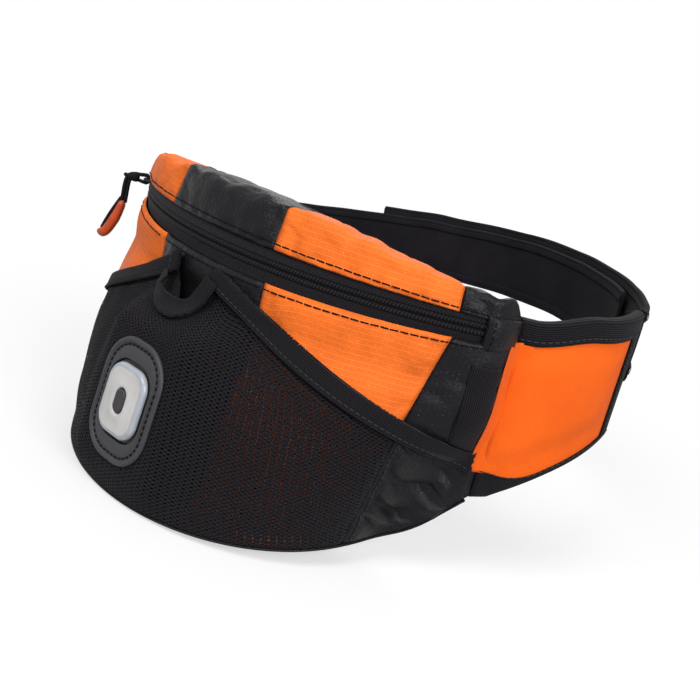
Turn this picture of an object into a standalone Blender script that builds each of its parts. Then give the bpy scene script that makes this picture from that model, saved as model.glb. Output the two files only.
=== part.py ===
"""Running waist pack: curved zip pack with mesh pocket and clip light on a hook-and-loop belt.

Metres, +Z up along the wearer's waist axis, pack front towards -Y, origin in the middle of the
waist loop at the straps' mid height. Angles are degrees.
"""

import math

import bmesh
import bpy
from mathutils import Matrix, Vector

# Waist loop seen from above: front, side and rear arcs that meet tangentially
FRONT_RADIUS = 0.1885
FRONT_ANGLE = 45.5
SIDE_RADIUS = 0.064
SIDE_ANGLE = 123.0

# Gaps and cloth
GAP = 0.0003
LAYER_GAP = 0.0005
SEAM_GAP = 0.0006
FABRIC = 0.0010
MESH_CLOTH = 0.0008
WEBBING = 0.0009

# Back panel layers, as offsets from the loop line
BACK_MESH = 0.0011
BACK_FOAM = 0.0030
BACK_LINING = 0.0008
BACK_SEAT = 0.0030

# Pack body; PACK_DEPTH is measured at the zip on the centre line
PACK_DEPTH = 0.0337
PACK_TOP = 0.0365
PACK_TOP_FALL = 0.0130
PACK_BOTTOM = -0.1245
PACK_BOTTOM_RISE = 0.0140
CORNER_RISE = 0.0200
CORNER_START = 42.0
PACK_END = 55.2
END_ROUND = 6.8
END_SPARE = 0.1
SEAM_CENTRE = 13.3
SEAM_OUTER = 44.0
# turn of the lower front's outer seams towards the middle, from the zip to the bottom
SEAM_LEAN = 9.5

# Upper band: a leaning face, a soft fold part way along, and a top that sags to the back panel
TOP_LEAN = 0.17
TOP_SAG = 0.0040
TOP_FOLD = 0.5
TOP_FOLD_SOFTNESS = 0.09
TOP_OVERLAP = 0.0010

# Bulge of the lower front
BULGE = 0.0300
BULGE_START = -0.0200
BULGE_LENGTH = 0.0320
BULGE_POWER = 1.5
BULGE_HEIGHT = 0.120
BULGE_SPREAD = 50.0
BULGE_FALL = 1.43
BULGE_CORNER_TOP = -1.5
BULGE_CORNER_BOTTOM = 1.5
DEPTH_SOFTNESS = 0.006
LEAST_DEPTH = 0.0014

# Main zip, a level arc
ZIP_RADIUS = 0.1727
ZIP_HEIGHT = 0.0058
ZIP_HALF_CENTRE = 0.0080
ZIP_HALF_END = 0.0058
ZIP_END = 49.2
ZIP_CLOSE = 2.4
TAPE = 0.0008
TAPE_INSET = 0.0006
COIL = 0.0018
COIL_INSET = 0.0001
COIL_SPLIT = 0.00055
COIL_HEIGHT = 0.00145
STOP_LENGTH = 0.0022
STOP_HALF_HEIGHT = 0.0026

# Slider and pull
SLIDER_ANGLE = 46.4
SLIDER_HALF_LENGTH = 0.0050
SLIDER_HALF_HEIGHT = 0.0042
SLIDER_PLATE = 0.0012
SLIDER_CLEARANCE = 0.0004
SLIDER_WEB_HALF = 0.00025
BAIL_HALF_LENGTH = 0.0040
BAIL_HALF_HEIGHT = 0.0008
BAIL_WALL = 0.0010
CORD_RADIUS = 0.0010
CORD_SPREAD = 0.0011
CORD_REACH = 0.0107
CORD_DROP = 0.0170
CORD_TURN_ANGLES = (15.0, 40.0, 65.0, 90.0)
GRIP_LENGTH = 0.0250
GRIP_HALF_WIDTH = 0.0030
GRIP_HALF_DEPTH = 0.0026
GRIP_LEAN = 21.0

# Mesh pocket
LAYER = 0.0023
BINDING_GAP = 0.0014
POCKET_GAP = 0.0120
POCKET_GAP_RISE = 0.035
POCKET_GAP_FLOOR = 0.025
MOUTH_START = 4.5
MOUTH_TOP = -0.0032
MOUTH_SLOPE = 0.0011
MOUTH_FALL_LEFT = 0.058
MOUTH_EASE_LEFT = 1.4
MOUTH_END = 53.0
BINDING_WIDTH = 0.0105
MESH_SEAM_TOP = 40.0
MESH_SEAM_BOTTOM = 35.5
MESH_SEAM_TOP_Z = -0.050
NOTCH_DEPTH = 0.0250
NOTCH_CENTRE = -0.6
NOTCH_HALF = 6.2

# Elastic loop between the pocket's bindings
LOOP_WIDTH = 0.0080
LOOP_THICKNESS = 0.0012
LOOP_LEFT = -5.7
LOOP_RIGHT = 4.6
LOOP_RIGHT_DROP = 0.0072
LOOP_LOW = -0.0280
LOOP_LOW_ANGLE = -0.2
# points on the way down (turn past the left end, share of the drop) and up (shares of turn and rise)
LOOP_FALL = ((0.7, 0.55), (-2.1, 0.88))
LOOP_RISE = ((0.50, 0.13), (0.85, 0.66))
LOOP_LAY_LEFT = 70.0
LOOP_LAY_SPAN = 0.55
LOOP_LIFT = 0.0053
LOOP_END_LIFT = 0.0030

# End strips
STRIP_START = 46.4
STRIP_END = 51.6
STRIP_TOP = -0.0105

# Safety light, all sizes across its face; depths from the mesh face
LIGHT_HEIGHT = -0.0770
LIGHT_TILT = 8.0
PATCH_SIZE = (0.0465, 0.0625, 0.0190)
PATCH_THICKNESS = 0.0018
FLAT_MARGIN = 0.0010
FLAT_BLEND = 0.0200
LENS_SIZE = (0.0295, 0.0360, 0.0098)
LENS_THICKNESS = 0.0036
LENS_SEAT = 0.0012
HOUSING_WALL = 0.0012
HOUSING_DEPTH = 0.0072
BUTTON_SIZE = (0.0072, 0.0123, 0.0035)
BUTTON_PROUD = 0.0008
BUTTON_BACK = 0.0004
BUTTON_CLEARANCE = 0.00035
BOARD_THICKNESS = 0.0010
BOARD_MARGIN = 0.0004
BATTERY_RADIUS = 0.0100
BATTERY_THICKNESS = 0.0032
DIODE_SIZE = (0.0035, 0.0028, 0.0007)
DIODE_SPACING = 0.0115

# Belt wings
WING_JOINT_GAP = 0.0005
WING_END = 108.0
WING_TOP_FALL = 0.0070
WING_TOP_RISE = 32.0
WING_TAIL = -0.0480
WING_ROOT_DROP = 0.0335
WING_CURVE = 1.6
WING_FACE = 0.0008
WING_FOAM = 0.0031
WING_LINING = 0.0008
WING_BINDING = 0.0007
WING_BINDING_WIDTH = 0.0110
WING_BOTTOM_BINDING_WIDTH = 0.0055
WING_END_BINDING = 8.0

# Straps and closure
STRAP_HEIGHT = 0.0380
STRAP = 0.0022
STRAP_SPACING = 0.0027
STRAP_BINDING = 0.0006
STRAP_BINDING_WIDTH = 0.0050
REAR_RISE = 0.0070
REAR_RISE_START = 75.0
REAR_RISE_SPAN = 80.0
REAR_DROOP = 0.0275
REAR_DROOP_START = 155.0
REAR_DROOP_SPAN = 105.0
LEFT_RISE_START = 240.0
LEFT_RISE_SPAN = 73.0
RIGHT_STRAP_END = 211.5
LEFT_STRAP_END = 135.0
LEFT_STRAP_DROP = 0.0045
STRAP_JOINT_GAP = 0.0004
PATCH_TURN_MARGIN = 4.0
CLOSURE_PATCH = 0.00085

# Mesh steps in degrees, and rows of faces across each kind of piece
PHI_STEP = 4.0
MESH_STEP = 3.0
END_STEP = 2.0
BACK_STEP = 5.0
HEADING_STEP_SIDE = 7.0
HEADING_STEP_REAR = 4.5
BACK_ROWS = 4
UPPER_ROWS = 12
LOWER_ROWS = 11
BOTTOM_ROWS = 3
POCKET_ROWS = 15
GUSSET_COLUMNS = 6
GUSSET_ROWS = 12
BINDING_ROWS = 2
STRIP_COLUMNS = 4
STRIP_ROWS = 4
WING_ROWS = 4
STRAP_ROWS = 2
ROUTE_STEPS = 3
CORNER_STEPS = 5
LEAST_CORNER = 0.0006

BLACK = (0.012, 0.012, 0.014)
ORANGE = (0.90, 0.19, 0.03)
COLLECTION = "waist_pack"


def sin(angle):
    return math.sin(math.radians(angle))


def cos(angle):
    return math.cos(math.radians(angle))


def smooth(value):
    value = min(max(value, 0.0), 1.0)
    return value * value * (3 - 2 * value)


def mix(low, high, share):
    return low + (high - low) * share


# Loop geometry
REAR_RADIUS = SIDE_RADIUS + (FRONT_RADIUS - SIDE_RADIUS) * sin(FRONT_ANGLE) / sin(SIDE_ANGLE)
SIDE_X = (FRONT_RADIUS - SIDE_RADIUS) * sin(FRONT_ANGLE)
SIDE_Y = -(FRONT_RADIUS - SIDE_RADIUS) * cos(FRONT_ANGLE)
REAR_Y = SIDE_Y - (SIDE_RADIUS - REAR_RADIUS) * cos(SIDE_ANGLE)
LOOP_SHIFT = (FRONT_RADIUS - REAR_Y - REAR_RADIUS) / 2
FRONT_CENTRE_Y = LOOP_SHIFT
ZIP_AXIS_Y = FRONT_CENTRE_Y - FRONT_RADIUS - PACK_DEPTH + ZIP_RADIUS


def turn_of(heading):
    return (heading + 180.0) % 360.0 - 180.0


def belt_point(heading, offset, height):
    """Point beside the loop line; heading 0 faces the front, 90 the right side, 180 the rear."""
    turn = turn_of(heading)
    side = 1 if turn >= 0 else -1
    turn = abs(turn)
    if turn <= FRONT_ANGLE:
        centre, radius = (0.0, 0.0), FRONT_RADIUS
    elif turn <= SIDE_ANGLE:
        centre, radius = (SIDE_X, SIDE_Y), SIDE_RADIUS
    else:
        centre, radius = (0.0, REAR_Y), REAR_RADIUS
    x = centre[0] + (radius + offset) * sin(turn)
    y = LOOP_SHIFT + centre[1] - (radius + offset) * cos(turn)
    return Vector((side * x, y, height + belt_rise(heading % 360.0)))


def belt_rise(heading):
    """Height of the belt's middle line: up along the right side, drooping behind, level again at the left."""
    rise = REAR_RISE * smooth((heading - REAR_RISE_START) / REAR_RISE_SPAN)
    droop = REAR_DROOP * smooth((heading - REAR_DROOP_START) / REAR_DROOP_SPAN)
    again = (REAR_DROOP - REAR_RISE) * smooth((heading - LEFT_RISE_START) / LEFT_RISE_SPAN)
    return rise - droop + again


def pack_point(phi, rho, height):
    """Point by angle and distance from the zip's own upright axis."""
    return Vector((rho * sin(phi), ZIP_AXIS_Y - rho * cos(phi), height))


def back_rho(phi):
    """Distance of the loop line from the zip axis."""
    shift = FRONT_CENTRE_Y - ZIP_AXIS_Y
    return -shift * cos(phi) + math.sqrt(FRONT_RADIUS**2 - (shift * sin(phi)) ** 2)


# Pack surfaces, as depth in front of the back panel's seat
def top_height(phi):
    return PACK_TOP - PACK_TOP_FALL * (phi / SEAM_OUTER) ** 2


def bottom_height(phi):
    corner = max(0.0, abs(phi) - CORNER_START) / (PACK_END - CORNER_START)
    return PACK_BOTTOM + PACK_BOTTOM_RISE * (phi / CORNER_START) ** 2 + CORNER_RISE * corner**1.5


def end_share(phi):
    """1 over the pack's length, falling along a round to almost 0 at its ends."""
    reach = max(0.0, abs(phi) - PACK_END + END_ROUND) / (END_ROUND + END_SPARE)
    return math.sqrt(1 - min(reach, 1.0) ** 2)


def zip_depth(phi):
    return ZIP_RADIUS - back_rho(phi) - BACK_SEAT


def bulge(phi, height):
    fall = max(0.0, BULGE_START - height) / BULGE_LENGTH
    swell = BULGE * (1 - math.exp(-(fall**BULGE_POWER)))
    low = min(max((ZIP_HEIGHT - height) / BULGE_HEIGHT, 0.0), 1.0)
    spread = phi / BULGE_SPREAD
    corner = mix(BULGE_CORNER_TOP, BULGE_CORNER_BOTTOM, low)
    return swell * (1 - BULGE_FALL * spread**2 - corner * spread**4)


def front_depth(phi, height):
    depth = zip_depth(phi) + bulge(phi, height)
    depth = (depth + math.sqrt(depth**2 + DEPTH_SOFTNESS**2)) / 2
    return max(depth * end_share(phi), LEAST_DEPTH)


def mouth_height(phi):
    """Height of the pocket's mouth; its left half falls faster at first and levels out."""
    turn = max(abs(phi), MOUTH_START) - MOUTH_START
    if phi > 0:
        return MOUTH_TOP - MOUTH_SLOPE * turn
    left = max(0.0, 1 - turn / (MOUTH_END - MOUTH_START))
    return MOUTH_TOP - MOUTH_FALL_LEFT * (1 - left**MOUTH_EASE_LEFT)


def pocket_room(phi, height):
    """Room between the lower panels and the pocket mesh: none at its mouth and its floor."""
    below = smooth((mouth_height(phi) - height) / POCKET_GAP_RISE)
    above = smooth((height - bottom_height(phi)) / POCKET_GAP_FLOOR)
    side = 1 - smooth((abs(phi) - MESH_SEAM_BOTTOM) / (MOUTH_END - MESH_SEAM_BOTTOM))
    room = POCKET_GAP * below * above * side
    return min(room, front_depth(phi, height) - LEAST_DEPTH)


def front_point(phi, height, lift=0.0):
    return pack_point(phi, back_rho(phi) + BACK_SEAT + front_depth(phi, height) + lift, height)


def inner_point(phi, height):
    return front_point(phi, height, -pocket_room(phi, height))


LIGHT_Y = front_point(0.0, LIGHT_HEIGHT, LAYER).y


def pocket_point(phi, height, lift=0.0):
    """Outer face of the mesh pocket, flat under the light's patch."""
    soft = front_point(phi, height, LAYER + lift)
    slope = math.tan(math.radians(LIGHT_TILT))
    plane_y = LIGHT_Y + slope * (height - LIGHT_HEIGHT) - lift / cos(LIGHT_TILT)
    flat = pack_point(phi, (ZIP_AXIS_Y - plane_y) / cos(phi), height)
    away_x = max(0.0, abs(flat.x) - PATCH_SIZE[0] / 2 - FLAT_MARGIN) / FLAT_BLEND
    away_z = max(0.0, abs(height - LIGHT_HEIGHT) - PATCH_SIZE[1] / 2 - FLAT_MARGIN) / FLAT_BLEND
    return flat.lerp(soft, smooth(math.hypot(away_x, away_z)))


def zip_half(phi):
    half = mix(ZIP_HALF_CENTRE, ZIP_HALF_END, (phi / SEAM_OUTER) ** 2)
    return half * (1 - smooth((abs(phi) - ZIP_END) / ZIP_CLOSE)) + GAP


def mesh_seam(height):
    share = (MESH_SEAM_TOP_Z - height) / (MESH_SEAM_TOP_Z - PACK_BOTTOM)
    return mix(MESH_SEAM_TOP, MESH_SEAM_BOTTOM, share)


def seam_angle(gap):
    """Angle that a gap takes at the zip's radius."""
    return math.degrees(gap / ZIP_RADIUS)


# Object makers
def fabric(name, colour, roughness, metallic=0.0):
    material = bpy.data.materials.new(name)
    material.use_nodes = True
    shader = material.node_tree.nodes["Principled BSDF"]
    shader.inputs["Base Color"].default_value = (*colour, 1.0)
    shader.inputs["Roughness"].default_value = roughness
    shader.inputs["Metallic"].default_value = metallic
    return material


def finish(obj, material, collection):
    collection.objects.link(obj)
    obj.data.materials.append(material)
    return obj


def shell(name, material, surface, columns, rows, thickness, side=-1):
    """Grid over surface(u, v), thickened inward (side -1), outward (1) or both ways (0)."""
    mesh = bpy.data.meshes.new(name)
    grid = bmesh.new()
    bmesh.ops.create_grid(grid, x_segments=round(columns), y_segments=round(rows), size=0.5)
    for vertex in grid.verts:
        vertex.co = surface(vertex.co.x + 0.5, vertex.co.y + 0.5)
    grid.to_mesh(mesh)
    grid.free()
    mesh.shade_smooth()
    obj = finish(bpy.data.objects.new(name, mesh), material, parts)
    solidify = obj.modifiers.new("thickness", "SOLIDIFY")
    solidify.thickness = thickness
    solidify.offset = side
    solidify.use_even_offset = True
    return obj


def rounded_outline(size, inset=0.0, corner_steps=CORNER_STEPS):
    """Corners of a rounded rectangle (width, height, corner radius), drawn in by inset."""
    half_x, half_y = size[0] / 2 - inset, size[1] / 2 - inset
    radius = max(size[2] - inset, LEAST_CORNER)
    points = []
    for quarter, (side_x, side_y) in enumerate(((1, 1), (-1, 1), (-1, -1), (1, -1))):
        for step in range(corner_steps + 1):
            angle = 90.0 * (quarter + step / corner_steps)
            x = side_x * (half_x - radius) + radius * cos(angle)
            y = side_y * (half_y - radius) + radius * sin(angle)
            points.append((x, y))
    return points


def plate(name, material, outlines, low, high, parent=None):
    """Flat plate between two heights of its own Z axis; later outlines are holes."""
    curve = bpy.data.curves.new(name, "CURVE")
    curve.dimensions = "2D"
    curve.fill_mode = "BOTH"
    curve.extrude = (high - low) / 2
    for points in outlines:
        spline = curve.splines.new("POLY")
        spline.points.add(len(points) - 1)
        for point, (x, y) in zip(spline.points, points):
            point.co = (x, y, 0.0, 1.0)
        spline.use_cyclic_u = True
    obj = finish(bpy.data.objects.new(name, curve), material, parts)
    obj.location.z = (low + high) / 2
    obj.parent = parent
    return obj


def to_mesh(obj, collection):
    """Replaces a curve object by a closed mesh object in the same place."""
    bpy.context.view_layer.update()
    mesh = bpy.data.meshes.new_from_object(obj.evaluated_get(bpy.context.evaluated_depsgraph_get()))
    welded = bmesh.new()
    welded.from_mesh(mesh)
    bmesh.ops.remove_doubles(welded, verts=welded.verts, dist=1e-6)
    bmesh.ops.recalc_face_normals(welded, faces=welded.faces)
    welded.to_mesh(mesh)
    welded.free()
    name = obj.name
    place = obj.matrix_world.copy()
    bpy.data.objects.remove(obj)
    solid = bpy.data.objects.new(name, mesh)
    solid.matrix_world = place
    collection.objects.link(solid)
    return solid


def combine(obj, tool, operation):
    boolean = obj.modifiers.new(operation.lower(), "BOOLEAN")
    boolean.operation = operation
    boolean.solver = "EXACT"
    boolean.use_self = operation == "UNION"
    boolean.object = tool
    for held in list(tool.users_collection):
        held.objects.unlink(tool)
    cutters.objects.link(tool)
    tool.hide_render = True
    tool.display_type = "WIRE"


def empty(name, place):
    frame = bpy.data.objects.new(name, None)
    frame.matrix_world = place
    parts.objects.link(frame)
    return frame


def count(span, step):
    return max(1, math.ceil(abs(span) / step - 1e-6))


# Back panel
def make_back_panel():
    layers = (
        ("back_mesh", BACK_MESH, -BACK_SEAT),
        ("back_foam", BACK_FOAM, -BACK_SEAT + BACK_MESH + GAP),
        ("back_lining", BACK_LINING, -BACK_SEAT + BACK_MESH + BACK_FOAM + 2 * GAP),
    )
    for name, thickness, offset in layers:

        def surface(u, v, face=offset + thickness):
            phi = mix(-PACK_END, PACK_END, u)
            top = top_height(phi) - TOP_SAG - FABRIC - SEAM_GAP
            return pack_point(phi, back_rho(phi) + face, mix(bottom_height(phi), top, v))

        shell(name, cloth["back"], surface, count(2 * PACK_END, BACK_STEP), BACK_ROWS, thickness)


# Upper band: each panel rises from the zip and folds over to the back panel
def band_point(phi, share):
    """Point of the band's outer face, from the zip (share 0) to the back panel (1)."""
    depth = zip_depth(phi) * end_share(phi)
    zip_edge = Vector((depth, ZIP_HEIGHT + zip_half(phi)))
    fold = Vector((depth * (1 - TOP_LEAN), top_height(phi)))
    back_edge = Vector((-TOP_OVERLAP, top_height(phi) - TOP_SAG))

    def straight(along):
        if along < TOP_FOLD:
            return zip_edge.lerp(fold, along / TOP_FOLD)
        return fold.lerp(back_edge, (along - TOP_FOLD) / (1 - TOP_FOLD))

    near = (share - TOP_FOLD) / (2 * TOP_FOLD_SOFTNESS) + 0.5
    if 0 < near < 1:
        start = straight(TOP_FOLD - TOP_FOLD_SOFTNESS).lerp(fold, near)
        end = fold.lerp(straight(TOP_FOLD + TOP_FOLD_SOFTNESS), near)
        depth, height = start.lerp(end, near)
    else:
        depth, height = straight(share)
    return pack_point(phi, back_rho(phi) + BACK_SEAT + depth, height)


def make_upper_band():
    gap = seam_angle(SEAM_GAP) / 2
    spans = (
        ("upper_end_left", -PACK_END, -SEAM_OUTER - gap, "black"),
        ("upper_panel_left", -SEAM_OUTER + gap, -SEAM_CENTRE - gap, "orange"),
        ("upper_panel_centre", -SEAM_CENTRE + gap, SEAM_CENTRE - gap, "black"),
        ("upper_panel_right", SEAM_CENTRE + gap, SEAM_OUTER - gap, "orange"),
        ("upper_end_right", SEAM_OUTER + gap, PACK_END, "black"),
    )
    for name, start, end, colour in spans:

        def surface(u, v, start=start, end=end):
            return band_point(mix(start, end, u), v)

        step = PHI_STEP if max(abs(start), abs(end)) < SEAM_OUTER else END_STEP
        shell(name, cloth[colour], surface, count(end - start, step), UPPER_ROWS, FABRIC)


# Lower front: runs from the zip down behind the mesh pocket
def make_lower_front():
    gap = seam_angle(SEAM_GAP) / 2
    spans = (
        ("lower_end_left", -PACK_END, -SEAM_OUTER - gap, 0.0, SEAM_LEAN, "black"),
        ("lower_panel_left", -SEAM_OUTER + gap, -SEAM_CENTRE - gap, SEAM_LEAN, 0.0, "orange"),
        ("lower_panel_centre", -SEAM_CENTRE + gap, SEAM_CENTRE - gap, 0.0, 0.0, "black"),
        ("lower_panel_right", SEAM_CENTRE + gap, SEAM_OUTER - gap, 0.0, -SEAM_LEAN, "orange"),
        ("lower_end_right", SEAM_OUTER + gap, PACK_END, -SEAM_LEAN, 0.0, "black"),
    )
    for name, start, end, start_lean, end_lean, colour in spans:

        def surface(u, v, ends=(start, end), leans=(start_lean, end_lean)):
            phi = mix(*ends, u) + mix(*leans, u) * (1 - v)
            height = mix(bottom_height(phi) + SEAM_GAP, ZIP_HEIGHT - zip_half(phi), v)
            return inner_point(phi, height)

        step = PHI_STEP if max(abs(start), abs(end)) < SEAM_OUTER else END_STEP
        columns = count(end - start + abs(start_lean + end_lean) / 2, step)
        shell(name, cloth[colour], surface, columns, LOWER_ROWS, FABRIC)


def make_bottom():
    reach = PACK_END - END_ROUND / 2

    def surface(u, v):
        phi = mix(-reach, reach, u)
        height = bottom_height(phi)
        inner = back_rho(phi) + BACK_SEAT
        outer = inner + front_depth(phi, height) + LAYER
        return pack_point(phi, mix(inner, outer, v), height - GAP)

    shell("bottom_panel", cloth["black"], surface, count(2 * reach, PHI_STEP), BOTTOM_ROWS, FABRIC, 1)


# Zip
def make_zip():
    reach = ZIP_END
    tape_face = ZIP_RADIUS - TAPE_INSET
    coil_face = ZIP_RADIUS - COIL_INSET
    coil_top = COIL_SPLIT + COIL_HEIGHT
    columns = count(2 * reach, PHI_STEP)
    for name, side in (("upper", 1), ("lower", -1)):

        def tape(u, v, side=side):
            phi = mix(-reach, reach, u)
            near, far = coil_top + GAP, zip_half(phi) - SEAM_GAP
            low, high = (near, far) if side > 0 else (-far, -near)
            return pack_point(phi, tape_face, ZIP_HEIGHT + mix(low, high, v))

        def coil(u, v, side=side):
            low, high = (COIL_SPLIT, coil_top) if side > 0 else (-coil_top, -COIL_SPLIT)
            return pack_point(mix(-reach, reach, u), coil_face, ZIP_HEIGHT + mix(low, high, v))

        shell(f"zip_tape_{name}", cloth["tape"], tape, columns, 1, TAPE)
        shell(f"zip_coil_{name}", cloth["coil"], coil, columns, 1, COIL)
    stop_turn = math.degrees((STOP_LENGTH / 2 + GAP) / ZIP_RADIUS)
    for name, side in (("left", -1), ("right", 1)):
        place = zip_frame(side * (ZIP_END + stop_turn), coil_face - COIL / 2)
        corner = (STOP_LENGTH / 2, STOP_HALF_HEIGHT)
        outline = [(x * corner[0], y * corner[1]) for x, y in ((1, 1), (-1, 1), (-1, -1), (1, -1))]
        stop = plate(f"zip_stop_{name}", cloth["coil"], [outline], -COIL / 2, COIL / 2)
        stop.matrix_world = place


def zip_frame(phi, rho):
    """Frame on the zip's arc: X along the zip, Y up, Z outward."""
    along = Vector((cos(phi), sin(phi), 0.0))
    outward = Vector((sin(phi), -cos(phi), 0.0))
    up = Vector((0.0, 0.0, 1.0))
    place = Matrix((along, up, outward)).transposed().to_4x4()
    place.translation = pack_point(phi, rho, ZIP_HEIGHT)
    return place


def box_outline(low_x, high_x, low_y, high_y):
    return [(low_x, low_y), (high_x, low_y), (high_x, high_y), (low_x, high_y)]


# The cord turns round the middle of the bail's bar, clear of the bar's corners and of the plate
CORD_TURN = math.hypot(BAIL_HALF_HEIGHT, BAIL_WALL / 2) + CORD_RADIUS + GAP
BAIL_SEAT = SLIDER_CLEARANCE + SLIDER_PLATE
BAIL_CENTRE = BAIL_SEAT + CORD_TURN + CORD_RADIUS + GAP


def make_slider():
    """Two plates joined by a thin web between the coils, with a bail on the outer plate."""
    place = zip_frame(-SLIDER_ANGLE, ZIP_RADIUS)
    inner_face = -COIL_INSET - COIL - SLIDER_CLEARANCE
    height, web = SLIDER_HALF_HEIGHT, SLIDER_WEB_HALF
    section = [
        (-height, BAIL_SEAT), (-height, SLIDER_CLEARANCE), (-web, SLIDER_CLEARANCE),
        (-web, inner_face), (-height, inner_face), (-height, inner_face - SLIDER_PLATE),
        (height, inner_face - SLIDER_PLATE), (height, inner_face), (web, inner_face),
        (web, SLIDER_CLEARANCE), (height, SLIDER_CLEARANCE), (height, BAIL_SEAT),
    ]
    body = plate("zip_slider", cloth["metal"], [section], -SLIDER_HALF_LENGTH, SLIDER_HALF_LENGTH)
    # the section lies across the zip: its X is up, its Y outward, its own Z along the zip
    across = Matrix(((0, 0, 1, 0), (1, 0, 0, 0), (0, 1, 0, 0), (0, 0, 0, 1)))
    body.matrix_world = place @ across
    body = to_mesh(body, parts)
    body.data.materials.clear()
    body.data.materials.append(cloth["metal"])

    outer, inner = BAIL_HALF_LENGTH, BAIL_HALF_LENGTH - BAIL_WALL
    crown, hole = BAIL_CENTRE + BAIL_WALL / 2, BAIL_CENTRE - BAIL_WALL / 2
    root = BAIL_SEAT - SLIDER_PLATE / 2
    arch = [
        (-outer, root), (-inner, root), (-inner, hole), (inner, hole),
        (inner, root), (outer, root), (outer, crown), (-outer, crown),
    ]
    bail = plate("bail", cloth["metal"], [arch], -BAIL_HALF_HEIGHT, BAIL_HALF_HEIGHT)
    # the arch lies along the zip: its Y is outward, its own Z points down
    along = Matrix(((1, 0, 0, 0), (0, 0, -1, 0), (0, 1, 0, 0), (0, 0, 0, 1)))
    bail.matrix_world = place @ along
    combine(body, to_mesh(bail, cutters), "UNION")
    return place


def make_pull(place):
    """Cord doubled through the bail, and the moulded grip at its end."""
    hinge = empty("pull_hinge", place @ Matrix.Translation((0.0, 0.0, BAIL_CENTRE)))

    def strand(side):
        """Route points as (up, outward) from round the bail's bar to the grip."""
        spread = CORD_SPREAD * side
        turn = [(CORD_TURN * sin(angle) * side, -CORD_TURN * cos(angle)) for angle in CORD_TURN_ANGLES]
        return turn + [
            (spread * 1.5, CORD_REACH * 0.42),
            (spread * 1.1, CORD_REACH * 0.72),
            (spread * 0.6 - CORD_DROP * 0.08, CORD_REACH * 0.93 + spread * 0.8),
            (-CORD_DROP * 0.35, CORD_REACH + spread),
            (-CORD_DROP * 0.70, CORD_REACH + spread),
            (-CORD_DROP, CORD_REACH + spread),
        ]

    route = list(reversed(strand(1))) + strand(-1)
    curve = bpy.data.curves.new("zip_pull_cord", "CURVE")
    curve.dimensions = "3D"
    curve.bevel_depth = CORD_RADIUS
    curve.bevel_resolution = 2
    curve.use_fill_caps = True
    spline = curve.splines.new("POLY")
    points = rounded_route(route, ROUTE_STEPS)
    spline.points.add(len(points) - 1)
    for point, (up, out) in zip(spline.points, points):
        point.co = (0.0, up, out, 1.0)
    cord = finish(bpy.data.objects.new("zip_pull_cord", curve), cloth["cord"], parts)
    cord.parent = hinge

    outline = rounded_outline((2 * GRIP_HALF_DEPTH, GRIP_LENGTH, GRIP_HALF_DEPTH * 0.95), 0.0, 4)
    grip = plate("zip_pull_grip", cloth["grip"], [outline], -GRIP_HALF_WIDTH, GRIP_HALF_WIDTH)
    lean = Matrix.Rotation(math.radians(-GRIP_LEAN), 4, "X")
    top = Vector((0.0, -CORD_DROP - GAP, CORD_REACH))
    drop = lean @ Vector((0.0, -GRIP_LENGTH / 2 - GAP, 0.0))
    # outline X points outward and its own Z along the zip
    turned = Matrix(((0, 0, 1, 0), (0, 1, 0, 0), (-1, 0, 0, 0), (0, 0, 0, 1)))
    grip.matrix_world = hinge.matrix_world @ Matrix.Translation(top + drop) @ lean @ turned


def rounded_route(points, steps):
    """Points of a smooth curve through the route's points."""
    ends = [points[0]] + points + [points[-1]]
    found = []
    for before, start, end, after in zip(ends, ends[1:], ends[2:], ends[3:]):
        for step in range(steps):
            share = step / steps
            found.append(tuple(
                0.5 * (2 * b + (c - a) * share + (2 * a - 5 * b + 4 * c - d) * share**2
                       + (3 * b - a - 3 * c + d) * share**3)
                for a, b, c, d in zip(before, start, end, after)
            ))
    found.append(points[-1])
    return found


# Mesh pocket
def mesh_top(phi):
    away = (phi - NOTCH_CENTRE) / NOTCH_HALF
    return mouth_height(phi) - GAP - NOTCH_DEPTH * max(0.0, 1 - away**2)


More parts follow.
